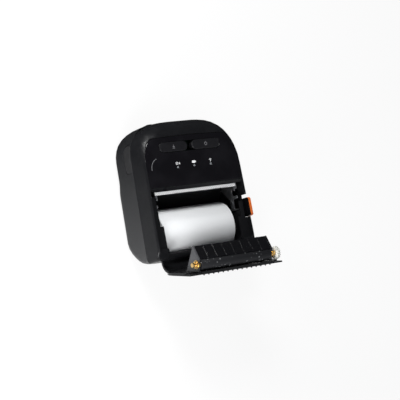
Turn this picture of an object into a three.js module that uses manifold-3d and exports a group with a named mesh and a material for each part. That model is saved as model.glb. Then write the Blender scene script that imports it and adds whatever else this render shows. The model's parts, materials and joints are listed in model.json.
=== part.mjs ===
// Portable label printer with its paper cover open, lying on its back. Millimetres.
// Every piece is laid out with the cover shut, in one construction frame: x to the right,
// y from the hinge end towards the buttons, z from the back to the front face.
// The cover's own pieces are then turned open about the hinge pin.

import * as THREE from "three";
import { mergeVertices } from "three/addons/utils/BufferGeometryUtils.js";
import Module from "manifold-3d";

const wasm = await Module();
wasm.setup();

// Casing
const bodyLength = 133;
const bodyThickness = 59;
const hingeEndHalfWidth = 57.4;
const topEndHalfWidth = 54.8;
const wall = 2.2;
const seamHeight = 38.5;
const backEdgeRadius = 10;
const hingeEdgeRadius = 20;
const sideCrest = 1.2;
const endTrim = 0.05;
const frontEdgeRadius = 2.6;
const shoulderEdgeRadius = 17;
const shoulderStart = 88;
const hingePlanRadius = 4;
const hingeBackRadius = 24;
const hingeFrontRadius = 12;
const topPlanRadius = 30;
const topFrontRadius = 15;
const topBackRadius = 16;
const upperBackStep = 2.4;
const backStepStart = 70;
const backStepLength = 14;
const clearance = 0.3;
const overrun = 1;

// Hinge
const hingeY = 3.8;
const hingeZ = 43.6;
const hingePinRadius = 1.25;
const hingeBarrelRadius = 3.6;
const hingeEarThickness = 2.6;
const openAngle = 99;

// Cover
const coverSkin = 2.4;
const coverFreeEdge = 60.9;
const coverSideMargin = 2.4;
const coverCornerY = 20;
const coverCornerRadius = 24;
const tongueHalfWidth = 44;
const tongueShoulderY = 12;
const tongueShoulderRadius = 3;
const coverEdgeGap = 0.4;
const coverRibThickness = 1.2;
const coverRibDepth = 3;
const coverRibSpacing = 30;
const coverRibLength = 24;
const coverLipThickness = 1.5;
const coverLipLength = 8;

// Paper roll
const rollRadius = 23.6;
const rollY = 27.3;
const rollZ = 28;
const rollWidth = 83.4;
const rollCentre = -1.2;
const paperCentre = 0.8;
const coreRadius = 9;
const coreBore = 6.3;

// Paper compartment
const troughGap = 0.7;
const troughThickness = 1.3;
const troughStartAngle = 205;
const troughEndAngle = 360;
const cheekGap = 0.7;
const cheekThickness = 1.6;
const cheekTopZ = 40;
const cheekLegWidth = 26;
const riserFootZ = 37.4;
const riserTopZ = 41.2;

// Platen and the frame that carries it
const platenY = 56.7;
const platenZ = 49.6;
const platenRadius = 5.4;
const platenShaftRadius = 2.2;
const platenFrameHalfWidth = 43.2;
const platenPlateThickness = 2.4;
const platenEndGap = 0.4;
const guideLipY = 52.2;
const guideLipZ = 32.6;
const guideRidgeY = 60.3;
const guideRidgeZ = 44.6;
const guideThickness = 2;
const guideRibs = 9;
const guideRibWidth = 0.8;
const guideRibHeight = 0.5;
const platenFootY = 38;
const platenBaseThickness = 1.4;
const bushRadius = 3.4;
const bushFlangeRadius = 4.2;
const bushFlangeThickness = 0.6;
const bushCollarRadius = 3.3;
const bushCollarLength = 1.5;

// Paper comb along the cover's free edge
const combHalfWidth = 41;
const combLength = 2.6;
const combPitch = 5.5;
const combToothWidth = 1.6;
const combToothHeight = 0.9;

// Gears
const gearModule = 0.64;
const platenTeeth = 18;
const idlerTeeth = 18;
const reductionTeeth = 36;
const pinionTeeth = 12;
const gearFace = 3.4;
const gearPinRadius = 1.2;
const gearBore = 1.5;
const idlerDirection = -40;
const reductionDirection = 0;
const motorDirection = -30;
const meshGap = 0.12;

// Print mechanism
const frameX = 46.5;
const frameThickness = 1.2;
const frameSlotHalfWidth = 2.9;
const frameSlotLead = 1;
const frameProngWidth = 3;
const frameProngTop = 54.6;
const frameTop = 55.3;
const frameArmEnd = 39;
const frameArmBottom = 42;
const frameArmTop = 47;
const frameTabTop = 48;
const frameTabReach = 3.8;
const headGap = 0.35;
const headThickness = 2.2;
const headBottom = 41.5;
const headTop = 55;
const headHalfWidth = 41.2;
const sinkDepth = 4.6;
const sinkBottom = 40.6;
const sinkTop = 54.4;
const finThickness = 1.2;
const springRadius = 3;
const springLength = 5.6;
const springX = 22;
const crossbarThickness = 1.4;
const tearBarLeft = -48.6;
const tearBarRight = 45.4;
const tearEdgeGap = 0.7;
const tearBarDepth = 3.1;
const tearBarThickness = 1.2;
const tearToothPitch = 2;
const tearToothDepth = 0.8;
const tearBarLift = 0.4;

// Latch
const latchY = 70;
const latchZ = 30;
const latchShaftRadius = 2;
const latchRingRadius = 3.8;
const hookThickness = 1.1;
const hookInnerX = 45;
const hookArmWidth = 4;
const hookSeat = 2.8;
const hookBeak = 1.7;
const hookTipOffset = 0.8;
const latchOpenAngle = 5;
const leverArmInnerX = 51.9;
const leverArmThickness = 1.6;
const leverTabStart = 31;
const leverTabLength = 18.3;
const leverTabBottom = 49.6;
const leverTabTop = 60;
const leverTabReach = 58.8;
const leverTravel = 3.4;

// Control panel
const panelThickness = 1.5;
const panelStart = 68.8;
const panelEnd = 117.6;
const panelHalfWidth = 53.4;
const panelCornerX = 47;
const panelCornerY = 115.4;
const panelCornerRadius = 9;
const panelShoulderY = 98;
const panelShoulderRadius = 30;
const panelTopRadius = 700;
const panelGap = 0.3;
const backingThickness = 1.6;
const bezelStart = 65.2;
const bezelDrop = 2.2;

// Buttons
const buttonY = 106.3;
const buttonHalfHeight = 4.7;
const buttonOuterX = 35;
const buttonInnerX = 2.6;
const buttonCentreX = -1;
const buttonRecess = 1.2;
const buttonTravel = 0.8;
const buttonThickness = 6;
const buttonProud = 0.5;
const switchSize = 6;
const switchHeight = 3.4;

// Status lights
const lightY = 86.2;
const lightXs = [-18.6, 0.4, 19.9];
const lightNames = ["status", "battery", "radio"];
const lightRadius = 1;

// Circuit board
const boardHalfWidth = 36.2;
const boardStart = 80;
const boardEnd = 117;
const boardBottom = 45.6;
const boardThickness = 1.6;
const standoffRadius = 1.8;

// Motor
const motorRadius = 9;
const motorLength = 24;

// Battery
const batteryHalfWidth = 34;
const batteryStart = 78;
const batteryEnd = 121;
const batteryHeight = 13.5;
const batteryCorner = 4;
const batteryChamfer = 1.6;
const bayWall = 1.2;
const contactWidth = 14;
const contactDepth = 5;
const contactHeight = 6;
const batteryLatchWidth = 18;
const batteryLatchLength = 6;
const batteryLatchThickness = 1.4;
const batteryLatchTravel = 2.5;

// Ports
const portStart = 88;
const portEnd = 115;
const portBottom = 25.4;
const portHeight = 12.2;
const portCorner = 4;
const flapThickness = 1.4;
const usbWidth = 9;
const usbHeight = 3.4;
const usbDepth = 7.5;
const usbWall = 0.4;
const usbY = 95;
const jackWidth = 9;
const jackDepth = 11;
const jackBore = 2.75;
const jackBoreDepth = 8;
const jackPin = 1;
const jackY = 107.1;
const portAxisZ = 31.5;
const portInset = 1;
const portTrayThickness = 1.4;

// Small inner parts
const sensorWidth = 9;
const sensorDepth = 5;
const sensorHeight = 3;
const sensorX = -18;
const coverSwitchWidth = 4.2;
const coverSwitchHeight = 12;
const coverSwitchDepth = 6.5;

// Fasteners
const screwX = 41;
const screwYs = [83, 116];
const bossRadius = 4;
const screwShank = 1.3;
const screwHeadRadius = 2.7;
const screwHeadHeight = 2;
const screwSeatZ = 12;
const screwLength = 34;
const driverSlot = 0.8;
const driverDepth = 0.9;

// Facets
const arcStep = THREE.MathUtils.degToRad(15);
const frontEdgeSteps = 3;
const backEdgeSteps = 5;
const roundSides = 32;
const pinSides = 16;

const casing = paint(0x232326, 0.55);
const glossy = paint(0x0c0c0e, 0.08);
const blackPlastic = paint(0x1a1a1c, 0.5);
const keyPlastic = paint(0x2e2f33, 0.45);
const steel = paint(0xc9cbce, 0.3, 1);
const aluminium = paint(0xb4b6ba, 0.35, 1);
const brass = paint(0xc9a25a, 0.3, 1);
const rubber = paint(0x3d3f42, 0.9);
const whiteNylon = paint(0xeeeeea, 0.5);
const orange = paint(0xd8601c, 0.4);
const paper = paint(0xf2f4f5, 0.7);
const card = paint(0xb89b72, 0.8);
const laminate = paint(0x1f5a35, 0.5);
const ceramic = paint(0xd8d4c8, 0.3);
const clearPlastic = paint(0xdfe8ee, 0.1);

function paint(color, roughness, metalness = 0) {
  return new THREE.MeshStandardMaterial({ color, roughness, metalness });
}

// Solids

function toSolid(geometry) {
  geometry.deleteAttribute("normal");
  geometry.deleteAttribute("uv");
  const merged = mergeVertices(geometry);
  const index = merged.index.array;
  const triangles = [];
  for (let i = 0; i < index.length; i += 3) {
    const [a, b, c] = index.slice(i, i + 3);
    if (a !== b && b !== c && c !== a) triangles.push(a, b, c);
  }
  return new wasm.Manifold(new wasm.Mesh({
    numProp: 3,
    vertProperties: new Float32Array(merged.attributes.position.array),
    triVerts: new Uint32Array(triangles),
  }));
}

function toGeometry(solid) {
  const mesh = solid.getMesh();
  const geometry = new THREE.BufferGeometry();
  geometry.setAttribute("position", new THREE.BufferAttribute(mesh.vertProperties, mesh.numProp));
  geometry.setIndex(new THREE.BufferAttribute(mesh.triVerts, 1));
  geometry.computeVertexNormals();
  return geometry;
}

function addPiece(group, name, solid, material) {
  const mesh = new THREE.Mesh(toGeometry(solid), material);
  mesh.name = name;
  group.add(mesh);
}

// A box between two corners.
function box(x0, x1, y0, y1, z0, z1) {
  const geometry = new THREE.BoxGeometry(x1 - x0, y1 - y0, z1 - z0);
  return toSolid(geometry.translate((x0 + x1) / 2, (y0 + y1) / 2, (z0 + z1) / 2));
}

// Corner points [a, b, radius] turned into an outline with round corners.
function rounded(corners) {
  const outline = [];
  corners.forEach(([a, b, radius = 0], i) => {
    const corner = new THREE.Vector2(a, b);
    const last = corners.at(i - 1);
    const next = corners[(i + 1) % corners.length];
    const back = new THREE.Vector2(last[0], last[1]).sub(corner).normalize();
    const ahead = new THREE.Vector2(next[0], next[1]).sub(corner).normalize();
    if (radius <= 0) {
      outline.push(corner);
      return;
    }
    const half = Math.acos(THREE.MathUtils.clamp(back.dot(ahead), -1, 1)) / 2;
    const bisector = back.clone().add(ahead).normalize();
    const centre = corner.clone().addScaledVector(bisector, radius / Math.sin(half));
    const start = corner.clone().addScaledVector(back, radius / Math.tan(half));
    const turn = Math.sign(back.y * ahead.x - back.x * ahead.y) * (Math.PI - 2 * half);
    const steps = Math.max(2, Math.ceil(Math.abs(turn) / arcStep));
    for (let k = 0; k <= steps; k++) {
      outline.push(start.clone().rotateAround(centre, turn * k / steps));
    }
  });
  return outline;
}

// An outline drawn out along one axis. Along x the outline's points are (y, z),
// along y they are (z, x) and along z they are (x, y).
function prism(outline, low, high, axis = "z", hole = null) {
  const shape = new THREE.Shape(outline);
  if (hole) shape.holes.push(new THREE.Path(hole));
  const geometry = new THREE.ExtrudeGeometry(shape, { depth: high - low, bevelEnabled: false });
  geometry.translate(0, 0, low);
  const unit = { x: new THREE.Vector3(1, 0, 0), y: new THREE.Vector3(0, 1, 0), z: new THREE.Vector3(0, 0, 1) };
  const order = { x: ["y", "z", "x"], y: ["z", "x", "y"], z: ["x", "y", "z"] }[axis];
  return toSolid(geometry.applyMatrix4(new THREE.Matrix4().makeBasis(...order.map((name) => unit[name]))));
}

// A ring of points about a centre, between two angles in degrees.
function arc(a, b, radius, from = 0, to = 360, sides = roundSides) {
  const closed = to - from >= 360;
  const count = closed ? sides : Math.ceil(sides * (to - from) / 360);
  const points = [];
  for (let i = 0; i < count + (closed ? 0 : 1); i++) {
    const angle = THREE.MathUtils.degToRad(from + (to - from) * i / count);
    points.push(new THREE.Vector2(a + radius * Math.cos(angle), b + radius * Math.sin(angle)));
  }
  return points;
}

// A round rod along x through (y, z).
function rod(y, z, radius, x0, x1, sides = roundSides) {
  return prism(arc(y, z, radius, 0, 360, sides), x0, x1, "x");
}

function post(x, y, radius, z0, z1, sides = pinSides) {
  return prism(arc(x, y, radius, 0, 360, sides), z0, z1, "z");
}

function tube(y, z, radius, bore, x0, x1, sides = roundSides) {
  return prism(arc(y, z, radius, 0, 360, sides), x0, x1, "x", arc(y, z, bore, 0, 360, sides));
}

function union(...solids) {
  return solids.reduce((sum, solid) => sum.add(solid));
}

// Casing

// How far a rounded end has drawn in, at a distance from that end.
function drawIn(radius, distance) {
  const reach = THREE.MathUtils.clamp(distance, 0, radius);
  return radius - Math.sqrt(radius ** 2 - (radius - reach) ** 2);
}

function halfWidthAt(y) {
  return THREE.MathUtils.lerp(hingeEndHalfWidth, topEndHalfWidth, y / bodyLength);
}

function backAt(y) {
  return upperBackStep * THREE.MathUtils.smoothstep(y, backStepStart, backStepStart + backStepLength);
}

function frontEdgeAt(y) {
  const shoulder = THREE.MathUtils.smoothstep(y, shoulderStart, bodyLength - topFrontRadius / 2);
  return THREE.MathUtils.lerp(frontEdgeRadius, shoulderEdgeRadius, shoulder);
}

function backEdgeAt(y) {
  return THREE.MathUtils.lerp(hingeEdgeRadius, backEdgeRadius, THREE.MathUtils.smoothstep(y, 0, hingeBackRadius));
}

function sideCorner(x, z, radius, from) {
  const steps = from < Math.PI ? frontEdgeSteps : backEdgeSteps;
  const points = [];
  for (let k = 0; k <= steps; k++) {
    const angle = from + (Math.PI / 2) * k / steps;
    points.push([x + radius * Math.cos(angle), z + radius * Math.sin(angle)]);
  }
  return points;
}

// The casing's cross-section at y, drawn in all round by inset.
function casingSection(y, inset) {
  const fromHinge = y - inset;
  const fromTop = bodyLength - inset - y;
  const half = halfWidthAt(y) - inset
    - drawIn(hingePlanRadius - inset, fromHinge) - drawIn(topPlanRadius - inset, fromTop);
  const low = backAt(y) + inset
    + drawIn(hingeBackRadius - inset, fromHinge) + drawIn(topBackRadius - inset, fromTop);
  const high = bodyThickness - inset
    - drawIn(hingeFrontRadius - inset, fromHinge) - drawIn(topFrontRadius - inset, fromTop);
  const backEdge = backEdgeAt(y) - inset;
  const frontEdge = Math.max(frontEdgeAt(y) - inset, inset / 4);
  return [
    ...sideCorner(half - frontEdge, high - frontEdge, frontEdge, 0),
    ...sideCorner(frontEdge - half, high - frontEdge, frontEdge, Math.PI / 2),
    [-half - sideCrest, seamHeight + clearance],
    [-half - sideCrest, seamHeight - clearance],
    ...sideCorner(backEdge - half, low + backEdge, backEdge, Math.PI),
    ...sideCorner(half - backEdge, low + backEdge, backEdge, 3 * Math.PI / 2),
    [half + sideCrest, seamHeight - clearance],
    [half + sideCrest, seamHeight + clearance],
  ].map(([x, z]) => [x, y, z]);
}

// The whole outer form of the casing, drawn in by inset.
function casingForm(inset) {
  const stations = [];
  const hingeSteps = 7;
  const topSteps = 8;
  const stepStations = 4;
  for (let k = 0; k <= hingeSteps; k++) {
    stations.push(inset + (hingeBackRadius - inset) * (1 - Math.cos(Math.PI / 2 * k / hingeSteps)));
  }
  for (let k = 0; k <= stepStations; k++) {
    stations.push(backStepStart + backStepLength * k / stepStations);
  }
  stations.push((backStepStart + backStepLength + bodyLength - topPlanRadius) / 2);
  for (let k = topSteps; k >= 0; k--) {
    stations.push(bodyLength - inset - (topPlanRadius - inset) * (1 - Math.cos(Math.PI / 2 * k / topSteps)));
  }
  const sections = stations.map((y) => casingSection(y, inset));
  const around = sections[0].length;
  const index = [];
  for (let s = 0; s + 1 < sections.length; s++) {
    for (let k = 0; k < around; k++) {
      const a = s * around + k;
      const b = s * around + (k + 1) % around;
      index.push(a, a + around, b, b, a + around, b + around);
    }
  }
  const lastRing = (sections.length - 1) * around;
  for (let k = 1; k + 1 < around; k++) {
    index.push(0, k, k + 1, lastRing, lastRing + k + 1, lastRing + k);
  }
  const geometry = new THREE.BufferGeometry();
  geometry.setAttribute("position", new THREE.Float32BufferAttribute(sections.flat(2), 3));
  geometry.setIndex(index);
  return toSolid(geometry);
}

const farX = hingeEndHalfWidth + overrun;
const farZ = bodyThickness + overrun;
const outerForm = casingForm(0);
const shell = outerForm.subtract(casingForm(wall));

function coverHalfAt(y) {
  return halfWidthAt(y) - coverSideMargin;
}

// The cover seen from the front, grown all round by grow.
function coverOutline(grow) {
  const right = [
    [tongueHalfWidth + grow, -overrun],
    [tongueHalfWidth + grow, tongueShoulderY - grow, tongueShoulderRadius],
    [coverHalfAt(coverCornerY) + grow, coverCornerY - grow, coverCornerRadius],
    [coverHalfAt(coverFreeEdge) + grow, coverFreeEdge + grow],
  ];
  const left = right.map(([x, y, radius]) => [-x, y, radius]).reverse();
  return rounded([...right, ...left]);
}

const tearEdgeY = coverFreeEdge + tearEdgeGap;
const tearBackY = tearEdgeY + tearBarDepth;
const openingEnd = bezelStart;
const skinInnerZ = bodyThickness - coverSkin;
const ledgeTop = skinInnerZ - clearance - overrun;
const ledgeBottom = ledgeTop - wall;
const sweepRadius = Math.hypot(tongueShoulderY - hingeY, skinInnerZ - hingeZ) - coverEdgeGap;
const hingePinReach = tongueHalfWidth + coverEdgeGap + hingeEarThickness;
const rollLeft = rollCentre - rollWidth / 2;
const rollRight = rollCentre + rollWidth / 2;
const cheekLeft = rollLeft - cheekGap;
const cheekRight = rollRight + cheekGap;

// Button and light places
const buttonsLeft = buttonCentreX - buttonOuterX;
const buttonsRight = buttonCentreX + buttonOuterX;

function buttonOutline(left, right, grow) {
  const top = buttonY + buttonHalfHeight + grow;
  const bottom = buttonY - buttonHalfHeight - grow;
  return { left: left - grow, right: right + grow, top, bottom, radius: buttonHalfHeight };
}

function pill(x0, x1, grow) {
  const { left, right, top, bottom, radius } = buttonOutline(x0, x1, grow);
  return rounded([[left, bottom, radius], [right, bottom, radius], [right, top, radius], [left, top, radius]]);
}

function panelOutline(grow) {
  const half = panelHalfWidth + grow;
  const right = [
    [half, panelStart - grow],
    [half, panelShoulderY, panelShoulderRadius],
    [panelCornerX + grow, panelCornerY + grow, panelCornerRadius],
    [0, panelEnd + grow, panelTopRadius],
  ];
  const left = right.slice(0, 3).map(([x, y, radius]) => [-x, y, radius]).reverse();
  return rounded([...right, ...left]);
}

const panelSeat = panelThickness + panelGap;
const panelFloor = bodyThickness - panelSeat;

function makeRearHousing() {
  const backSide = box(-farX, farX, endTrim, bodyLength - endTrim, -overrun, seamHeight - clearance / 2);
  let housing = shell.intersect(backSide);
  const bayOuter = batteryHalfWidth + clearance + bayWall;
  const bayTop = batteryHeight + clearance;
  const bay = box(-bayOuter, bayOuter, batteryStart - clearance - bayWall, batteryEnd + clearance + bayWall,
    upperBackStep / 2, bayTop + bayWall).intersect(outerForm);
  housing = housing.add(bay);
  for (const side of [-1, 1]) {
    for (const y of screwYs) {
      const column = post(side * screwX, y, bossRadius, 0, seamHeight - clearance / 2);
      housing = housing.add(column.intersect(outerForm));
      housing = housing.subtract(post(side * screwX, y, screwHeadRadius + clearance, -overrun, screwSeatZ));
      housing = housing.subtract(post(side * screwX, y, screwShank + clearance, -overrun, seamHeight + overrun));
    }
  }
  housing = housing.subtract(prism(batteryOutline(clearance), -overrun, bayTop));
  const wallInside = -halfWidthAt(portEnd) + drawIn(topPlanRadius, bodyLength - portEnd) + wall + overrun;
  housing = housing.subtract(portPrism(clearance, -farX, wallInside));
  housing = housing.add(portSurround().intersect(backSide));
  const seatHalf = batteryLatchWidth / 2 + clearance;
  const seatStart = batteryStart - clearance - bayWall - batteryLatchLength - batteryLatchTravel - clearance;
  const seatTop = batteryLatchZ() + batteryLatchThickness + clearance;
  const seatCover = box(-seatHalf - bayWall, seatHalf + bayWall, seatStart - bayWall, batteryStart - clearance,
    seatTop - overrun, seatTop + bayWall).intersect(outerForm);
  const latchSeat = box(-seatHalf, seatHalf, seatStart, batteryStart, -overrun, seatTop);
  return housing.add(seatCover).subtract(latchSeat);
}

function batteryOutline(grow) {
  const half = batteryHalfWidth + grow;
  const radius = batteryCorner + grow;
  return rounded([[-half, batteryStart - grow, radius], [half, batteryStart - grow, radius],
    [half, batteryEnd + grow, radius], [-half, batteryEnd + grow, radius]]);
}

function batteryLatchZ() {
  return clearance;
}

function portPrism(grow, x0, x1) {
  const radius = portCorner + grow;
  const low = portBottom - grow;
  const high = portBottom + portHeight + grow;
  return prism(rounded([[portStart - grow, low, radius], [portEnd + grow, low, radius],
    [portEnd + grow, high, radius], [portStart - grow, high, radius]]), x0, x1, "x");
}

// The wall behind the flap that the two sockets look through, the tunnel round it and the tray they stand on.
function portSurround() {
  const depth = flapThickness + clearance + portInset;
  const outside = casingForm(depth);
  const inside = casingForm(depth + portTrayThickness);
  const tunnel = casingForm(wall / 2).subtract(inside)
    .intersect(portPrism(clearance + wall / 2, -farX, -boardHalfWidth))
    .subtract(portPrism(clearance, -farX, -boardHalfWidth));
  const trayEnd = -boardHalfWidth - clearance - wall;
  const trayTop = portAxisZ - jackWidth / 2 - clearance;
  const tray = box(-farX, trayEnd, usbY - usbWidth / 2, jackY + jackWidth / 2, trayTop - portTrayThickness, trayTop);
  const stand = box(-farX, trayEnd, usbY - usbWidth / 2 + clearance, usbY + usbWidth / 2 - clearance,
    trayTop - portTrayThickness / 2, portAxisZ - usbHeight / 2 - clearance);
  const shelf = union(tray, stand).intersect(casingForm(depth + portTrayThickness / 2));
  const plate = outside.subtract(inside).intersect(portPrism(clearance + overrun / 2, -farX, -boardHalfWidth));
  const usbHole = box(-farX, -boardHalfWidth, usbY - usbWidth / 2 - clearance, usbY + usbWidth / 2 + clearance,
    portAxisZ - usbHeight / 2 - clearance, portAxisZ + usbHeight / 2 + clearance);
  const jackHole = rod(jackY, portAxisZ, jackBore + overrun / 2, -farX, -boardHalfWidth, pinSides);
  return union(plate, tunnel).subtract(usbHole).subtract(jackHole).add(shelf);
}

const cornerPlateEnd = coverCornerY + coverCornerRadius / 2;

// One of the two side rails that the open compartment lies between, for side -1 or 1.
function makeRail(side) {
  const outerX = farX;
  const webX = frameX + frameThickness + clearance;
  const flange = box(webX, outerX, tongueShoulderY - overrun, tearEdgeY - overrun, ledgeBottom, ledgeTop);
  const cornerPlate = box(tongueHalfWidth, outerX, tongueShoulderY - hingeBarrelRadius,
    cornerPlateEnd, ledgeBottom, ledgeTop);
  const web = box(webX, webX + wall / 2, tongueShoulderY - overrun, frameArmEnd - overrun,
    seamHeight + clearance / 2, ledgeTop);
  const ear = prism(arc(hingeY, hingeZ, hingeBarrelRadius - clearance, 90, 270, pinSides).concat(
    rounded([[tongueShoulderY, hingeZ - hingeBarrelRadius + clearance], [tongueShoulderY + wall, ledgeTop]])),
    tongueHalfWidth, tongueHalfWidth + coverEdgeGap + hingeEarThickness, "x");
  const rail = union(flange, cornerPlate, web, ear);
  return side > 0 ? rail : rail.mirror([1, 0, 0]);
}

function makeFrontHousing() {
  const frontSide = box(-farX, farX, endTrim, bodyLength - endTrim, seamHeight + clearance / 2, farZ);
  const inside = casingForm(wall / 2);
  let housing = shell.intersect(frontSide);
  const rails = union(makeRail(-1), makeRail(1)).intersect(inside).intersect(frontSide);
  const opening = prism(coverOutline(coverEdgeGap), seamHeight - overrun, farZ);
  const mouth = box(-coverHalfAt(coverFreeEdge) - coverEdgeGap, coverHalfAt(coverFreeEdge) + coverEdgeGap,
    coverFreeEdge - overrun, openingEnd, seamHeight - overrun, farZ);
  housing = housing.subtract(opening).subtract(mouth);
  const beyondSweep = box(tongueHalfWidth - overrun, coverHalfAt(coverCornerY) + coverEdgeGap, -overrun,
    coverCornerY + coverCornerRadius, hingeZ, farZ)
    .subtract(rod(hingeY, hingeZ, sweepRadius, tongueHalfWidth - 2 * overrun, farX, 2 * roundSides));
  housing = housing.subtract(beyondSweep).subtract(beyondSweep.mirror([1, 0, 0]));
  housing = housing.add(rails).subtract(box(-tongueHalfWidth - coverEdgeGap, tongueHalfWidth + coverEdgeGap,
    -overrun, cornerPlateEnd + overrun, seamHeight - overrun, farZ));
  housing = housing.subtract(rod(hingeY, hingeZ, hingePinRadius + clearance / 2,
    -hingePinReach - clearance, hingePinReach + clearance, pinSides));
  const bottomOfSeat = casingForm(panelSeat);
  const backing = prism(panelOutline(wall / 2), seamHeight + wall, farZ)
    .intersect(inside).subtract(casingForm(panelSeat + backingThickness));
  housing = housing.add(backing);
  for (const side of [-1, 1]) {
    for (const y of screwYs) {
      const column = post(side * screwX, y, bossRadius, seamHeight + clearance / 2, bodyThickness - wall / 2);
      const pilot = post(side * screwX, y, screwShank + clearance, -overrun, screwSeatZ + screwLength + clearance);
      housing = housing.add(column.intersect(inside)).subtract(pilot);
    }
    for (const y of [boardStart + standoffRadius + overrun, boardEnd - standoffRadius - overrun]) {
      housing = housing.add(post(side * (boardHalfWidth - standoffRadius - overrun), y, standoffRadius,
        boardBottom + boardThickness + clearance, panelFloor - backingThickness / 2));
    }
  }
  housing = housing.subtract(prism(panelOutline(panelGap), seamHeight, farZ).subtract(bottomOfSeat));
  housing = housing.subtract(prism(pill(buttonsLeft, buttonsRight, clearance), boardBottom, farZ));
  for (const x of lightXs) {
    housing = housing.subtract(post(x, lightY, lightRadius + clearance, boardBottom, farZ));
  }
  const chamfer = prism([[openingEnd - overrun, farZ], [openingEnd - overrun, bodyThickness - bezelDrop],
    [openingEnd, bodyThickness - bezelDrop], [panelStart - panelGap - overrun / 2, bodyThickness],
    [panelStart - panelGap - overrun / 2, farZ]].map(([y, z]) => new THREE.Vector2(y, z)),
    -coverHalfAt(coverFreeEdge) - coverEdgeGap, coverHalfAt(coverFreeEdge) + coverEdgeGap, "x");
  return housing.subtract(chamfer).subtract(leverSlot());
}

// Where the release lever stands out through the right side, and where the platen gear swings past.
function leverSlot() {
  const start = leverTabStart - clearance;
  const end = leverTabStart + leverTabLength + leverTravel;
  const side = box(coverHalfAt(start) + coverEdgeGap - overrun, farX, start, end,
    leverTabBottom - overrun, farZ);
  const flange = box(leverArmInnerX - clearance, coverHalfAt(start) + coverEdgeGap, start - overrun,
    tearEdgeY, seamHeight, farZ);
  const gearReach = tipRadius(platenTeeth) + leverTravel;
  const gear = box(frameX, leverArmInnerX, platenY - gearReach, openingEnd, seamHeight, farZ);
  return union(side, flange, gear);
}

function makeControlPanel() {
  const skin = outerForm.subtract(casingForm(panelThickness));
  const plate = skin.intersect(prism(panelOutline(0), seamHeight, farZ));
  const hole = prism(pill(buttonsLeft, buttonsRight, clearance), seamHeight, farZ);
  const windows = union(...lightXs.map((x) => post(x, lightY, lightRadius + clearance, seamHeight, farZ)));
  return plate.subtract(hole).subtract(windows);
}

// Controls

function makeButton(left, right) {
  const top = bodyThickness + buttonProud;
  return prism(pill(left, right, 0), top - buttonThickness, top)
    .intersect(prism(pill(buttonsLeft, buttonsRight, 0), top - buttonThickness, top));
}

const switchTop = boardBottom + boardThickness + clearance + switchHeight;
const buttonBottom = bodyThickness + buttonProud - buttonThickness;

// A tactile switch: a square case and the round plunger that the key presses.
function makeKeySwitch(x) {
  const floor = boardBottom + boardThickness + clearance;
  const caseTop = floor + switchHeight / 2;
  const half = switchSize / 2;
  const square = rounded([[x - half, buttonY - half, half / 6], [x + half, buttonY - half, half / 6],
    [x + half, buttonY + half, half / 6], [x - half, buttonY + half, half / 6]]);
  return prism(square, floor, caseTop).add(post(x, buttonY, half / 2, floor, buttonBottom - buttonTravel - clearance));
}

function makeLightGuide(x) {
  const foot = post(x, lightY, lightRadius, boardBottom + boardThickness + clearance, bodyThickness);
  const collar = post(x, lightY, lightRadius * 2, boardBottom + boardThickness + clearance,
    boardBottom + boardThickness + clearance + lightRadius * 2);
  return foot.add(collar);
}

// The board, with its two chips and the radio module as raised blocks.
function makeCircuitBoard() {
  const top = boardBottom + boardThickness;
  const board = box(-boardHalfWidth, boardHalfWidth, boardStart, boardEnd, boardBottom, top);
  const chipHeight = boardThickness;
  const chip = box(-boardHalfWidth / 3, 0, boardStart + boardHalfWidth / 3, boardStart + boardHalfWidth / 1.6,
    boardBottom - chipHeight, boardBottom);
  const radio = box(-boardHalfWidth / 1.1, -boardHalfWidth / 2, boardEnd - boardHalfWidth / 2,
    boardEnd - boardHalfWidth / 9, boardBottom - chipHeight, boardBottom);
  return union(board, chip, radio);
}

// Cover pieces, laid out shut

function makeCoverShell() {
  const skin = outerForm.subtract(casingForm(coverSkin));
  const region = prism(coverOutline(0), hingeZ, farZ);
  let cover = skin.intersect(region);
  const ribTop = bodyThickness - coverSkin / 2;
  for (const side of [-1, 0, 1]) {
    const x = side * coverRibSpacing + paperCentre;
    cover = cover.add(box(x - coverRibThickness / 2, x + coverRibThickness / 2, tongueShoulderY,
      tongueShoulderY + coverRibLength, skinInnerZ - coverRibDepth, ribTop));
  }
  cover = cover.add(rod(hingeY, hingeZ, hingeBarrelRadius, -tongueHalfWidth, tongueHalfWidth, roundSides));
  cover = cover.subtract(rod(hingeY, hingeZ, hingePinRadius + clearance / 2,
    -tongueHalfWidth - overrun, tongueHalfWidth + overrun, pinSides));
  const combSlot = box(paperCentre - combHalfWidth - clearance, paperCentre + combHalfWidth + clearance,
    coverFreeEdge - combLength - clearance, coverFreeEdge + overrun, skinInnerZ - overrun, farZ);
  cover = cover.subtract(combSlot);
  for (const side of [-1, 1]) {
    const inner = side * (platenFrameHalfWidth + overrun) + paperCentre;
    const outer = side * farX;
    cover = cover.subtract(box(Math.min(inner, outer), Math.max(inner, outer), coverFreeEdge - coverLipLength,
      coverFreeEdge + overrun, skinInnerZ - overrun, bodyThickness - coverLipThickness));
  }
  return cover;
}

function makePaperComb() {
  const edgeY = coverFreeEdge;
  const low = skinInnerZ - clearance;
  const strip = box(paperCentre - combHalfWidth, paperCentre + combHalfWidth, edgeY - combLength, edgeY,
    low, bodyThickness);
  const half = combToothWidth / 2;
  const count = Math.floor((2 * combHalfWidth - combToothWidth) / combPitch) + 1;
  const first = paperCentre - (count - 1) * combPitch / 2;
  let comb = strip;
  for (let i = 0; i < count; i++) {
    const x = first + i * combPitch;
    const tooth = [[bodyThickness - combToothHeight, x - half], [bodyThickness + combToothHeight, x - half / 3],
      [bodyThickness + combToothHeight, x + half / 3], [bodyThickness - combToothHeight, x + half]];
    comb = comb.add(prism(tooth.map(([z, across]) => new THREE.Vector2(z, across)),
      edgeY - combLength / 2, edgeY, "y"));
  }
  return comb;
}

const plateLeft = paperCentre - platenFrameHalfWidth;
const plateRight = paperCentre + platenFrameHalfWidth;

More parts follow.
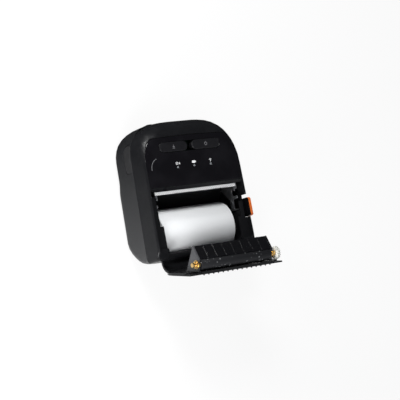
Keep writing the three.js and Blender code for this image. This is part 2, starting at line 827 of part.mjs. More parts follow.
// The moulded frame that holds the roller: two side plates, a base on the cover's
// skin and the ribbed guide that leads the paper to the roller.
function makePlatenFrame() {
  const seat = skinInnerZ - clearance;
  const sidePlate = rounded([
    [platenFootY, seat], [platenFootY + wall, seat - wall],
    [guideLipY, guideLipZ, guideThickness / 2], [guideRidgeY, guideRidgeZ, guideThickness / 2],
    [coverFreeEdge - combLength - clearance, seat],
  ]);
  const left = prism(sidePlate, plateLeft, plateLeft + platenPlateThickness, "x");
  const right = prism(sidePlate, plateRight - platenPlateThickness, plateRight, "x");
  const base = box(plateLeft, plateRight, platenFootY + wall, platenY - platenRadius, seat - platenBaseThickness, seat);
  const run = new THREE.Vector2(guideRidgeY - guideLipY, guideRidgeZ - guideLipZ).normalize();
  const inward = new THREE.Vector2(-run.y, run.x).multiplyScalar(guideThickness);
  const guide = prism([
    new THREE.Vector2(guideLipY, guideLipZ), new THREE.Vector2(guideRidgeY, guideRidgeZ),
    new THREE.Vector2(guideRidgeY, guideRidgeZ).add(inward), new THREE.Vector2(guideLipY, guideLipZ).add(inward),
  ], plateLeft, plateRight, "x");
  let frame = union(left, right, base, guide);
  const outward = inward.clone().normalize().multiplyScalar(-guideRibHeight);
  const ribInset = platenPlateThickness / 2;
  for (let i = 0; i < guideRibs; i++) {
    const x = THREE.MathUtils.lerp(plateLeft + ribInset, plateRight - ribInset, i / (guideRibs - 1));
    const rib = prism([
      new THREE.Vector2(guideLipY, guideLipZ).add(inward), new THREE.Vector2(guideLipY, guideLipZ).add(outward),
      new THREE.Vector2(guideRidgeY, guideRidgeZ).add(outward), new THREE.Vector2(guideRidgeY, guideRidgeZ).add(inward),
    ], x - guideRibWidth / 2, x + guideRibWidth / 2, "x");
    frame = frame.add(rib);
  }
  const bushHole = rod(platenY, platenZ, bushRadius + clearance / 2, plateLeft - overrun, plateRight + overrun);
  const rollerSpace = rod(platenY, platenZ, platenRadius + platenEndGap,
    plateLeft + platenPlateThickness, plateRight - platenPlateThickness);
  return frame.subtract(bushHole).subtract(rollerSpace);
}

// A bush: a flanged ring pressed into the side plate, for side -1 or 1.
function makePlatenBush(side) {
  const bore = platenShaftRadius + clearance / 2;
  const inner = platenFrameHalfWidth - platenPlateThickness + clearance;
  const ring = tube(platenY, platenZ, bushRadius, bore, inner, platenFrameHalfWidth + clearance, pinSides);
  const flange = tube(platenY, platenZ, bushFlangeRadius, bore, platenFrameHalfWidth + clearance / 2,
    platenFrameHalfWidth + clearance / 2 + bushFlangeThickness, pinSides);
  const bush = ring.add(flange);
  if (side > 0) return bush.translate([paperCentre, 0, 0]);
  const flangeEnd = platenFrameHalfWidth + clearance / 2 + bushFlangeThickness;
  const collar = tube(platenY, platenZ, bushCollarRadius, bore, flangeEnd - clearance,
    flangeEnd + bushCollarLength, pinSides);
  return bush.add(collar).mirror([1, 0, 0]).translate([paperCentre, 0, 0]);
}

const rubberLeft = plateLeft + platenPlateThickness + platenEndGap;
const rubberRight = plateRight - platenPlateThickness - platenEndGap;
const gearStart = frameX + frameThickness + platenEndGap;
const gearEnd = gearStart + gearFace;
const leftHookOuter = -hookInnerX - hookThickness;

// Gears

function pitchRadius(teeth) {
  return gearModule * teeth / 2;
}

function tipRadius(teeth) {
  return pitchRadius(teeth) + 0.85 * gearModule;
}

// A spur gear outline with its first tooth at the angle phase, in degrees.
function gearOutline(y, z, teeth, phase) {
  const root = pitchRadius(teeth) - 1.15 * gearModule;
  const tip = tipRadius(teeth);
  const toothShares = [[-0.33, root], [-0.1, tip], [0.1, tip], [0.33, root]];
  const points = [];
  for (let i = 0; i < teeth; i++) {
    for (const [share, radius] of toothShares) {
      const angle = THREE.MathUtils.degToRad(phase) + 2 * Math.PI * (i + share) / teeth;
      points.push(new THREE.Vector2(y + radius * Math.cos(angle), z + radius * Math.sin(angle)));
    }
  }
  return points;
}

// The centre of a gear that meshes with another, in a direction in degrees.
function meshedAt(centre, teeth, otherTeeth, direction, gap) {
  const distance = pitchRadius(teeth) + pitchRadius(otherTeeth) + gap;
  const angle = THREE.MathUtils.degToRad(direction);
  return { y: centre.y + distance * Math.cos(angle), z: centre.z + distance * Math.sin(angle) };
}

// A phase that puts a gap of the second gear where the first has a tooth.
function meshedPhase(phase, teeth, otherTeeth, direction) {
  const turns = (direction - phase) * teeth / 360;
  return direction + 180 + (turns + 0.5) * 360 / otherTeeth;
}

const platenGearAt = { y: platenY, z: platenZ };
const tipGap = tipRadius(platenTeeth) + tipRadius(idlerTeeth) - pitchRadius(platenTeeth) - pitchRadius(idlerTeeth);
const idlerAt = meshedAt(platenGearAt, platenTeeth, idlerTeeth, idlerDirection, tipGap + clearance);
const reductionAt = meshedAt(idlerAt, idlerTeeth, reductionTeeth, reductionDirection, meshGap);
const motorAt = meshedAt(reductionAt, reductionTeeth, pinionTeeth, motorDirection, meshGap);
const idlerPhase = 0;
const reductionPhase = meshedPhase(idlerPhase, idlerTeeth, reductionTeeth, reductionDirection);
const pinionPhase = meshedPhase(reductionPhase, reductionTeeth, pinionTeeth, motorDirection);

function makeGear(at, teeth, phase, bore) {
  return prism(gearOutline(at.y, at.z, teeth, phase), gearStart, gearEnd, "x",
    arc(at.y, at.z, bore, 0, 360, pinSides));
}

function makeAxle(at) {
  return rod(at.y, at.z, gearPinRadius, frameX - clearance / 2, gearEnd + clearance, pinSides);
}

function makeMotorPinion() {
  const gear = prism(gearOutline(motorAt.y, motorAt.z, pinionTeeth, pinionPhase), gearStart, gearEnd, "x");
  return gear.add(rod(motorAt.y, motorAt.z, gearPinRadius, frameX - clearance, gearEnd, pinSides));
}

function makeMotor() {
  const end = frameX - clearance;
  const can = rod(motorAt.y, motorAt.z, motorRadius, end - motorLength, end - frameThickness);
  const flange = prism(rounded([
    [motorAt.y - motorRadius, motorAt.z - motorRadius * 0.7, motorRadius / 3],
    [motorAt.y + motorRadius, motorAt.z - motorRadius * 0.7, motorRadius / 3],
    [motorAt.y + motorRadius, motorAt.z + motorRadius * 0.7, motorRadius / 3],
    [motorAt.y - motorRadius, motorAt.z + motorRadius * 0.7, motorRadius / 3],
  ]), end - frameThickness, end, "x");
  const rearBearing = rod(motorAt.y, motorAt.z, gearPinRadius * 2, end - motorLength - frameThickness,
    end - motorLength, pinSides);
  const shaftHole = rod(motorAt.y, motorAt.z, gearPinRadius + clearance, end - frameThickness, end + overrun, pinSides);
  return union(can, flange, rearBearing).subtract(shaftHole);
}

// Print mechanism

const headFront = platenY + platenRadius + headGap;
const crossbarY = headFront + headThickness + clearance + sinkDepth + clearance + springLength + clearance;

// One side plate of the mechanism. The slot takes the platen shaft when the cover is shut.
function frameOutline(long) {
  const slotLeft = platenY - frameSlotHalfWidth - frameSlotLead;
  const slotRight = platenY + frameSlotHalfWidth;
  const slotBottom = platenZ - frameSlotHalfWidth;
  const bottom = latchZ - latchRingRadius;
  const tail = long ? motorAt.y + motorRadius : crossbarY + crossbarThickness + wall;
  const tailTop = long ? motorAt.z + motorRadius : frameTop - wall;
  const tailBottom = long ? motorAt.z - motorRadius : bottom;
  return rounded([
    [slotLeft - frameProngWidth, slotBottom - frameProngWidth - wall, wall],
    [latchY - latchRingRadius - wall, bottom, wall],
    [latchY + latchRingRadius + wall, bottom, wall],
    [tail, tailBottom, wall],
    [tail, tailTop, wall],
    [crossbarY + crossbarThickness + 2 * wall, long ? tailTop : tailTop, 0],
    [crossbarY + crossbarThickness + wall, frameTop, wall / 2],
    [slotRight, frameTop, 0],
    [slotRight, slotBottom, frameSlotHalfWidth * 0.95],
    [slotLeft, slotBottom, frameSlotHalfWidth * 0.95],
    [slotLeft, frameProngTop, frameProngWidth / 3],
    [slotLeft - frameProngWidth, frameProngTop, frameProngWidth / 3],
  ]);
}

function makeSideFrame(side) {
  const long = side > 0;
  const inner = side > 0 ? frameX : -frameX - frameThickness;
  let frame = prism(frameOutline(long), inner, inner + frameThickness, "x");
  const prongY = platenY - frameSlotHalfWidth - frameSlotLead - frameProngWidth / 2;
  const arm = box(inner, inner + frameThickness, frameArmEnd, prongY, frameArmBottom, frameArmTop);
  const reach = long ? frameTabReach : rollLeft - 2 * clearance - inner - frameThickness;
  const tab = box(inner, inner + reach + frameThickness, frameArmEnd, frameArmEnd + frameThickness,
    frameArmBottom, frameTabTop);
  frame = union(frame, arm, tab);
  const cuts = [[latchY, latchZ, latchShaftRadius + clearance]];
  if (long) {
    cuts.push([idlerAt.y, idlerAt.z, gearPinRadius + clearance / 2]);
    cuts.push([reductionAt.y, reductionAt.z, gearPinRadius + clearance / 2]);
    cuts.push([motorAt.y, motorAt.z, gearPinRadius + 2 * clearance]);
  }
  for (const [y, z, radius] of cuts) {
    frame = frame.subtract(rod(y, z, radius, inner - overrun, inner + frameThickness + overrun, pinSides));
  }
  return frame;
}

// The bar between the side frames that backs the head springs.
function makeCrossbar() {
  return box(-frameX + clearance, frameX - clearance, crossbarY, crossbarY + crossbarThickness,
    boardBottom - boardThickness - 5 * wall, frameTop - wall);
}

function makeHeatSink() {
  const front = headFront + headThickness + clearance;
  const back = front + sinkDepth;
  const base = box(paperCentre - headHalfWidth, paperCentre + headHalfWidth, front, front + finThickness,
    sinkBottom, sinkTop);
  const fins = [0, 1, 2, 3].map((i) => {
    const z = THREE.MathUtils.lerp(sinkBottom, sinkTop - finThickness, i / 3);
    return box(paperCentre - headHalfWidth, paperCentre + headHalfWidth, front, back, z, z + finThickness);
  });
  return union(base, ...fins);
}

function makeHeadSpring(x) {
  const z = THREE.MathUtils.lerp(sinkBottom, sinkTop, 0.5);
  const start = headFront + headThickness + clearance + sinkDepth + clearance;
  const end = crossbarY - clearance;
  const turns = 5;
  const pitch = (end - start) / turns;
  const profile = [[0, start]];
  for (let i = 0; i < turns; i++) {
    profile.push([springRadius * 0.75, start + i * pitch], [springRadius, start + (i + 0.5) * pitch]);
  }
  profile.push([springRadius * 0.75, end], [0, end]);
  const lathe = new THREE.LatheGeometry(profile.map(([radius, y]) => new THREE.Vector2(radius, y)), pinSides);
  return toSolid(lathe.translate(x, 0, z));
}

function makePrintHead() {
  const left = paperCentre - headHalfWidth;
  const right = paperCentre + headHalfWidth;
  const plate = box(left, right, headFront, headFront + headThickness, headBottom, headTop);
  return plate;
}

function makeTearBar() {
  const low = frameTop + tearBarLift;
  const outline = [new THREE.Vector2(tearBarLeft, tearBackY)];
  const count = Math.round((tearBarRight - tearBarLeft) / tearToothPitch);
  const pitch = (tearBarRight - tearBarLeft) / count;
  for (let i = 0; i < count; i++) {
    outline.push(new THREE.Vector2(tearBarLeft + i * pitch, tearEdgeY + tearToothDepth));
    outline.push(new THREE.Vector2(tearBarLeft + (i + 0.5) * pitch, tearEdgeY));
  }
  outline.push(new THREE.Vector2(tearBarRight, tearEdgeY + tearToothDepth));
  outline.push(new THREE.Vector2(tearBarRight, tearBackY));
  return prism(outline, low, low + tearBarThickness);
}

// Latch and release lever, turning together on one shaft

function makeLatchHook(side) {
  const seatTop = platenZ + hookSeat;
  const beakTop = seatTop + hookBeak;
  const armEdgeY = platenY + hookSeat + hookArmWidth;
  const outline = rounded([
    [latchY - latchRingRadius, latchZ - latchRingRadius, latchRingRadius * 0.9],
    [latchY + latchRingRadius, latchZ - latchRingRadius, latchRingRadius * 0.9],
    [latchY + latchRingRadius, latchZ + latchRingRadius, latchRingRadius * 0.6],
    [armEdgeY, beakTop - hookBeak, hookBeak * 0.8],
    [armEdgeY - hookBeak, beakTop, hookBeak * 0.5],
    [platenY + hookTipOffset, beakTop, hookBeak * 0.5],
    [platenY + hookTipOffset, seatTop, hookBeak * 0.2],
    [platenY + hookSeat, seatTop, hookSeat * 0.5],
    [platenY + hookSeat, platenZ - hookSeat, hookSeat * 0.3],
  ]);
  const inner = side > 0 ? hookInnerX : leftHookOuter;
  const plate = prism(outline, inner, inner + hookThickness, "x");
  return plate.subtract(rod(latchY, latchZ, latchShaftRadius + clearance / 2, inner - overrun,
    inner + hookThickness + overrun, pinSides));
}

function makeLatchShaft() {
  return rod(latchY, latchZ, latchShaftRadius, -frameX - frameThickness, leverArmInnerX + leverArmThickness, pinSides);
}

function makeReleaseLever() {
  const tabEnd = leverTabStart + leverTabLength;
  const rise = (latchY - leverTabStart) * Math.sin(THREE.MathUtils.degToRad(latchOpenAngle));
  const neckTop = skinInnerZ - clearance - rise;
  const armOutline = rounded([
    [latchY - latchRingRadius, latchZ - latchRingRadius, latchRingRadius * 0.9],
    [latchY + latchRingRadius, latchZ - latchRingRadius, latchRingRadius * 0.9],
    [latchY + latchRingRadius, latchZ + latchRingRadius, latchRingRadius * 0.9],
    [tabEnd, neckTop, wall],
    [leverTabStart + wall, neckTop, wall],
    [leverTabStart + wall, leverTabBottom - wall, wall],
  ]);
  const outerX = leverArmInnerX + leverArmThickness;
  let lever = prism(armOutline, leverArmInnerX, outerX, "x");
  const tabInner = coverHalfAt(leverTabStart) + coverEdgeGap + clearance;
  const tab = prism(rounded([
    [leverTabStart, leverTabBottom, wall], [tabEnd, leverTabBottom, wall],
    [tabEnd, leverTabTop, wall], [leverTabStart, leverTabTop, wall],
  ]), tabInner, leverTabReach, "x");
  const neck = box(leverArmInnerX, tabInner + wall / 2, leverTabStart + wall + overrun, tabEnd - wall,
    leverTabBottom + clearance, neckTop);
  lever = union(lever, tab, neck);
  return lever.subtract(rod(latchY, latchZ, latchShaftRadius + clearance / 2, leverArmInnerX - overrun,
    outerX + overrun, pinSides));
}

// Paper

function makeTrough() {
  const inner = rollRadius + troughGap;
  const outer = inner + troughThickness;
  const outline = [...arc(rollY, rollZ, outer, troughStartAngle, troughEndAngle),
    ...arc(rollY, rollZ, inner, troughStartAngle, troughEndAngle).reverse()];
  const riserY = platenY + platenRadius + clearance;
  const riser = [[rollY + inner, rollZ], [riserY, riserFootZ], [riserY, riserTopZ],
    [riserY + troughThickness, riserTopZ], [riserY + troughThickness, riserFootZ],
    [rollY + outer, rollZ - troughThickness]].map(([y, z]) => new THREE.Vector2(y, z));
  const left = cheekLeft - cheekThickness;
  const right = cheekRight + cheekThickness;
  const riserLeft = paperCentre - headHalfWidth - cheekGap;
  let trough = prism(outline, left, right, "x").add(prism(riser, riserLeft, right, "x"));
  const half = cheekLegWidth / 2;
  const cheek = rounded([[rollY - half, wall + clearance], [rollY + half, wall + clearance],
    [rollY + half, cheekTopZ, wall * 2], [rollY - half, cheekTopZ, wall * 2]]);
  trough = trough.add(prism(cheek, cheekLeft - cheekThickness, cheekLeft, "x"));
  trough = trough.add(prism(cheek, cheekRight, cheekRight + cheekThickness, "x"));
  return trough.intersect(casingForm(wall + clearance));
}

function makeSensor() {
  const reach = (rollRadius + troughGap + troughThickness + clearance) * Math.SQRT1_2;
  return box(sensorX - sensorWidth / 2, sensorX + sensorWidth / 2, rollY + reach, rollY + reach + sensorDepth,
    rollZ - reach - sensorHeight, rollZ - reach);
}

// Ports

function makePortFlap() {
  const skin = outerForm.subtract(casingForm(flapThickness));
  return skin.intersect(portPrism(0, -farX, -boardHalfWidth));
}

function socketMouthX(y) {
  return -halfWidthAt(y) + drawIn(topPlanRadius, bodyLength - y) + flapThickness + portInset + portTrayThickness
    + 3 * clearance - sideCrest * portAxisZ / seamHeight;
}

function makeUsbSocket() {
  const x = socketMouthX(usbY - usbWidth / 2);
  const half = usbWidth / 2;
  const tall = usbHeight / 2;
  const outside = box(x, x + usbDepth, usbY - half, usbY + half, portAxisZ - tall, portAxisZ + tall);
  const inside = box(x - overrun, x + usbDepth - usbWall, usbY - half + usbWall, usbY + half - usbWall,
    portAxisZ - tall + usbWall, portAxisZ + tall - usbWall);
  const tongue = box(x + usbWall, x + usbDepth - usbWall / 2, usbY - half / 2, usbY + half / 2,
    portAxisZ - usbWall, portAxisZ + usbWall);
  return outside.subtract(inside).add(tongue);
}

function makeChargingJack() {
  const x = socketMouthX(jackY + jackWidth / 2);
  const half = jackWidth / 2;
  const block = box(x, x + jackDepth, jackY - half, jackY + half, portAxisZ - half, portAxisZ + half);
  const bore = rod(jackY, portAxisZ, jackBore, x - overrun, x + jackBoreDepth, pinSides);
  const pin = rod(jackY, portAxisZ, jackPin, x + clearance, x + jackBoreDepth + overrun, pinSides / 2);
  return block.subtract(bore).add(pin);
}

// Battery

function makeBattery() {
  const low = clearance / 3;
  const half = batteryHalfWidth;
  const across = prism(rounded([[low + batteryChamfer, -half], [batteryHeight, -half], [batteryHeight, half],
    [low + batteryChamfer, half], [low, half - batteryChamfer], [low, batteryChamfer - half]]),
    batteryStart, batteryEnd, "y");
  const along = prism(rounded([[batteryStart, low], [batteryEnd - batteryChamfer, low],
    [batteryEnd, low + batteryChamfer], [batteryEnd, batteryHeight], [batteryStart, batteryHeight]]),
    -half, half, "x");
  return prism(batteryOutline(0), low, batteryHeight).intersect(across).intersect(along);
}

function makeBatteryLatch() {
  const z = batteryLatchZ();
  const end = batteryStart - clearance;
  const start = batteryStart - clearance - bayWall - batteryLatchLength;
  const half = batteryLatchWidth / 2;
  const slider = box(-half, half, start, end, z, z + batteryLatchThickness);
  const gripDepth = batteryLatchThickness / 2;
  const gripPitch = batteryLatchLength / 4;
  let latch = slider;
  for (const step of [1, 2, 3]) {
    const y = start + step * gripPitch;
    latch = latch.subtract(box(-half / 1.5, half / 1.5, y - gripDepth / 2, y + gripDepth / 2, z - overrun, z + gripDepth));
  }
  return latch;
}

function makeContactBlock() {
  const z = batteryHeight + 2 * clearance + bayWall;
  return box(-contactWidth / 2, contactWidth / 2, batteryStart + contactDepth, batteryStart + 2 * contactDepth,
    z, z + contactHeight);
}

// The small switch that the shut cover presses, beside the left side frame.
function makeCoverSwitch() {
  const x = -frameX - frameThickness - clearance;
  const top = frameTop - coverSwitchDepth;
  return box(x - coverSwitchWidth, x, crossbarY - coverSwitchDepth, crossbarY, top - coverSwitchHeight, top)
    .add(box(x - coverSwitchWidth / 2 - wall / 2, x - coverSwitchWidth / 2 + wall / 2,
      crossbarY - coverSwitchDepth / 2 - wall / 2, crossbarY - coverSwitchDepth / 2 + wall / 2,
      top - overrun, top + wall));
}

// Fasteners

function makeScrew(x, y) {
  const head = post(x, y, screwHeadRadius, screwSeatZ - screwHeadHeight - clearance, screwSeatZ - clearance);
  const shank = post(x, y, screwShank, screwSeatZ - screwHeadHeight, screwSeatZ + screwLength);
  const low = screwSeatZ - screwHeadHeight - clearance;
  const long = screwHeadRadius * 0.7;
  const cross = box(x - long, x + long, y - driverSlot / 2, y + driverSlot / 2, low - overrun, low + driverDepth)
    .add(box(x - driverSlot / 2, x + driverSlot / 2, y - long, y + long, low - overrun, low + driverDepth));
  return head.add(shank).subtract(cross);
}

// Assembly

const printer = new THREE.Group();
const cover = new THREE.Group();
const coverInner = new THREE.Group();
printer.add(cover);
cover.add(coverInner);

addPiece(printer, "rear_housing", makeRearHousing(), casing);
addPiece(printer, "front_housing", makeFrontHousing(), casing);
addPiece(printer, "control_panel", makeControlPanel(), glossy);
addPiece(printer, "paper_compartment", makeTrough(), blackPlastic);
addPiece(printer, "left_side_frame", makeSideFrame(-1), steel);
addPiece(printer, "right_side_frame", makeSideFrame(1), steel);
addPiece(printer, "frame_crossbar", makeCrossbar(), steel);
addPiece(printer, "tear_bar", makeTearBar(), steel);
addPiece(printer, "thermal_print_head", makePrintHead(), ceramic);
addPiece(printer, "head_heat_sink", makeHeatSink(), aluminium);
addPiece(printer, "head_spring_left", makeHeadSpring(paperCentre - springX), steel);
addPiece(printer, "head_spring_right", makeHeadSpring(paperCentre + springX), steel);
addPiece(printer, "main_circuit_board", makeCircuitBoard(), laminate);
addPiece(printer, "battery_pack", makeBattery(), blackPlastic);
addPiece(printer, "battery_latch", makeBatteryLatch(), keyPlastic);
addPiece(printer, "battery_contact_block", makeContactBlock(), brass);
addPiece(printer, "drive_motor", makeMotor(), aluminium);
addPiece(printer, "motor_pinion", makeMotorPinion(), brass);
addPiece(printer, "reduction_gear", makeGear(reductionAt, reductionTeeth, reductionPhase, gearBore), whiteNylon);
addPiece(printer, "idler_gear", makeGear(idlerAt, idlerTeeth, idlerPhase, gearBore), whiteNylon);
addPiece(printer, "reduction_axle", makeAxle(reductionAt), steel);
addPiece(printer, "idler_axle", makeAxle(idlerAt), steel);
addPiece(printer, "usb_socket", makeUsbSocket(), steel);
addPiece(printer, "charging_jack", makeChargingJack(), blackPlastic);
addPiece(printer, "port_flap", makePortFlap(), rubber);
addPiece(printer, "paper_sensor", makeSensor(), blackPlastic);
addPiece(printer, "cover_switch", makeCoverSwitch(), blackPlastic);
lightXs.forEach((x, i) => {
  addPiece(printer, `${lightNames[i]}_light_guide`, makeLightGuide(x), clearPlastic);
});
const buttonSplit = buttonCentreX + buttonInnerX;
addPiece(printer, "feed_button", makeButton(buttonsLeft, buttonCentreX - buttonInnerX), keyPlastic);
addPiece(printer, "power_button", makeButton(buttonSplit, buttonsRight), keyPlastic);
const keyReach = (buttonOuterX + buttonInnerX) / 2;
addPiece(printer, "feed_switch", makeKeySwitch(buttonCentreX - keyReach), blackPlastic);
addPiece(printer, "power_switch", makeKeySwitch(buttonCentreX + keyReach), blackPlastic);
addPiece(printer, "latch_shaft", makeLatchShaft(), steel);
addPiece(printer, "latch_hook_left", makeLatchHook(-1), steel);
addPiece(printer, "latch_hook_right", makeLatchHook(1), steel);
addPiece(printer, "release_lever", makeReleaseLever(), orange);
addPiece(printer, "hinge_pin",
  rod(hingeY, hingeZ, hingePinRadius, -hingePinReach, hingePinReach, pinSides), steel);
addPiece(printer, "paper_roll",
  tube(rollY, rollZ, rollRadius, coreRadius + clearance, rollLeft, rollRight, 1.5 * roundSides), paper);
addPiece(printer, "roll_core", tube(rollY, rollZ, coreRadius, coreBore, rollLeft, rollRight), card);
let screwNumber = 1;
for (const side of [-1, 1]) {
  for (const y of screwYs) {
    addPiece(printer, `case_screw_${screwNumber++}`, makeScrew(side * screwX, y), steel);
  }
}
addPiece(coverInner, "cover_shell", makeCoverShell(), casing);
addPiece(coverInner, "platen_frame", makePlatenFrame(), blackPlastic);
addPiece(coverInner, "paper_comb", makePaperComb(), blackPlastic);
addPiece(coverInner, "platen_shaft",
  rod(platenY, platenZ, platenShaftRadius, -frameX - frameThickness, gearEnd, pinSides), steel);
addPiece(coverInner, "platen_rubber",
  tube(platenY, platenZ, platenRadius, platenShaftRadius + clearance / 2, rubberLeft, rubberRight), rubber);
addPiece(coverInner, "platen_bush_left", makePlatenBush(-1), brass);
addPiece(coverInner, "platen_bush_right", makePlatenBush(1), brass);
addPiece(coverInner, "platen_gear", makeGear(platenGearAt, platenTeeth, 0, platenShaftRadius + clearance / 2), whiteNylon);

// The cover turns about its pin, and the origin is the centre of the flat back.
cover.position.set(0, hingeY, hingeZ);
cover.rotation.x = THREE.MathUtils.degToRad(openAngle);
coverInner.position.set(0, -hingeY, -hingeZ);
printer.position.y = -(hingeBackRadius + backStepStart) / 2;

export default printer;
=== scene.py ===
# Portable label printer with its paper cover open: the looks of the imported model.

import json
import math

import bpy
from mathutils import Matrix, Vector
from mathutils.bvhtree import BVHTree

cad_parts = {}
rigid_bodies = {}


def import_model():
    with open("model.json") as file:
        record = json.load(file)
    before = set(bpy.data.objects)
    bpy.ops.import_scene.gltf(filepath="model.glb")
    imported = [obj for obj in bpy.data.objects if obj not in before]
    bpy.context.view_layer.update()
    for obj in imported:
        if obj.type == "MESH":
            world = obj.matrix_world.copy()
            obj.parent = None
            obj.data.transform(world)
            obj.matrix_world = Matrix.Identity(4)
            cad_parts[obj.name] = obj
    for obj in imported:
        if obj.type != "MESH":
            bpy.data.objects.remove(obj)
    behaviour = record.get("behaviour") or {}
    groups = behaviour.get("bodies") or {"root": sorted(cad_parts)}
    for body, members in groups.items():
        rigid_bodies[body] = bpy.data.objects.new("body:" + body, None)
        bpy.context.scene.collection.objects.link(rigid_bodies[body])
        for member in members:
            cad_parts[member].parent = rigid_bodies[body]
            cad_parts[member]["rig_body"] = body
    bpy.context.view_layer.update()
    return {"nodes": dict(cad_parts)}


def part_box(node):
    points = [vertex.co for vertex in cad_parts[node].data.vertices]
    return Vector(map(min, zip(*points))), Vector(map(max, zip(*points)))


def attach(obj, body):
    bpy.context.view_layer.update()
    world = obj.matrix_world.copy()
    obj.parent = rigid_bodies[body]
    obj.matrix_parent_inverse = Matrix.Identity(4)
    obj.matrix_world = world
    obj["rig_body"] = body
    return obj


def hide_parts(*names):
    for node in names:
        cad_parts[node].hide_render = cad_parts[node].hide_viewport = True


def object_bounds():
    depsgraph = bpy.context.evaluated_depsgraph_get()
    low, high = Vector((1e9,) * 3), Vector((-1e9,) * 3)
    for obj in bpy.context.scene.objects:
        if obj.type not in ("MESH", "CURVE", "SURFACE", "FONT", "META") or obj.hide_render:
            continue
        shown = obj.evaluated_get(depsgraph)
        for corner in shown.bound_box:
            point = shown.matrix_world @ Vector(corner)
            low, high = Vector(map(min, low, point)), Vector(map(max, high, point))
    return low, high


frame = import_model()
model = frame["nodes"]


# Rear housing
# The back half of the casing, moulded in dark grey filled plastic with a fine spark-eroded
# texture. Four screws from the back hold it to the front half along a narrow seam.


def set_inputs(tree, node, inputs):
    """Gives each named input of a node its value, or a link where the value is a socket."""
    for name, value in inputs.items():
        if isinstance(value, bpy.types.NodeSocket):
            tree.links.new(value, node.inputs[name])
        else:
            node.inputs[name].default_value = value


def add_node(tree, kind, inputs, **settings):
    """A new shader node with its settings and inputs."""
    node = tree.nodes.new(f"ShaderNode{kind}")
    for name, value in settings.items():
        setattr(node, name, value)
    set_inputs(tree, node, inputs)
    return node


def object_place(tree):
    """The socket that gives each point's place on the finished part."""
    return add_node(tree, "TexCoord", {}).outputs["Object"]


def noise(tree, place, scale, detail=2.0):
    """The socket of a cloudy noise from 0 to 1."""
    inputs = {"Vector": place, "Scale": scale, "Detail": detail}
    return add_node(tree, "TexNoise", inputs).outputs["Fac"]


def ranged(tree, value, source=(0.0, 1.0), result=(0.0, 1.0)):
    """The socket of a value carried over from one range to another and held within it."""
    inputs = {"Value": value, "From Min": source[0], "From Max": source[1]}
    inputs.update({"To Min": result[0], "To Max": result[1]})
    return add_node(tree, "MapRange", inputs).outputs["Result"]


def maths(tree, operation, *values):
    """The socket of an operation on numbers or sockets."""
    return add_node(tree, "Math", dict(enumerate(values)), operation=operation).outputs[0]


def colour_between(tree, factor, first, second):
    """The socket of a colour mixed from two others."""
    mix = add_node(tree, "Mix", {"Factor": factor, "A": first, "B": second}, data_type="RGBA")
    return mix.outputs["Result"]


def shared_effect(title, inputs):
    """An empty node group with its inputs, that gives a colour, a roughness and a relief."""
    group = bpy.data.node_groups.new(title, "ShaderNodeTree")
    for name, kind, value in inputs:
        socket = group.interface.new_socket(name, in_out="INPUT", socket_type=f"NodeSocket{kind}")
        socket.default_value = value
    for name, kind in (("Colour", "Color"), ("Roughness", "Float"), ("Height", "Float")):
        group.interface.new_socket(name, in_out="OUTPUT", socket_type=f"NodeSocket{kind}")
    return group, group.nodes.new("NodeGroupInput").outputs, group.nodes.new("NodeGroupOutput")


def build_moulded_grain():
    """Fine texture of a spark-eroded mould, with soft cloudy changes of colour and gloss."""
    group, given, made = shared_effect("moulded_grain", [
        ("Colour", "Color", (0.1, 0.1, 0.1, 1)),
        ("Scuffed Colour", "Color", (0.12, 0.12, 0.12, 1)),
        ("Roughness", "Float", 0.5),
        ("Grain Per Metre", "Float", 2400.0),
    ])
    place = object_place(group)
    cloud = noise(group, place, 38.0, 4.0)
    share = maths(group, "MULTIPLY", cloud, noise(group, place, 300.0, 5.0))
    scuffed = ranged(group, share, source=(0.16, 0.42))
    gloss = ranged(group, cloud, result=(-0.07, 0.07))
    set_inputs(group, made, {
        "Colour": colour_between(group, scuffed, given["Colour"], given["Scuffed Colour"]),
        "Roughness": maths(group, "ADD", given["Roughness"], gloss),
        "Height": noise(group, place, given["Grain Per Metre"]),
    })
    return group


moulded_grain = build_moulded_grain()


def new_material(title):
    """A new material, its node tree and its shader."""
    material = bpy.data.materials.new(title)
    material.use_nodes = True
    return material, material.node_tree, material.node_tree.nodes["Principled BSDF"]


def relief_of(tree, height, depth):
    """The socket of a normal that is bumped by a height, at most depth metres high."""
    inputs = {"Height": height, "Distance": depth, "Strength": 1.0}
    return add_node(tree, "Bump", inputs).outputs["Normal"]


def material_with(title, effect, values, depth, metallic=0.0, specular=0.5):
    """A material whose colour, roughness and relief come from a shared effect."""
    material, tree, shader = new_material(title)
    group = tree.nodes.new("ShaderNodeGroup")
    group.node_tree = effect
    for name, value in values.items():
        colour = group.inputs[name].type == "RGBA"
        group.inputs[name].default_value = (*value, 1) if colour else value
    set_inputs(tree, shader, {
        "Metallic": metallic,
        "Specular IOR Level": specular,
        "Base Color": group.outputs["Colour"],
        "Roughness": group.outputs["Roughness"],
        "Normal": relief_of(tree, group.outputs["Height"], depth),
    })
    return material


smooth_angle = math.radians(32)
rounded_angle = math.radians(38)
flat_angle = math.radians(0.6)
merge_distance = 0.000002


def smooth_faces(piece):
    """Smooth curves between flat faces that stay flat up to their rounded edges."""
    bpy.ops.object.shade_smooth_by_angle(angle=smooth_angle)
    weighted = piece.modifiers.new("weighted", "WEIGHTED_NORMAL")
    weighted.keep_sharp = True
    bpy.ops.object.modifier_apply(modifier=weighted.name)


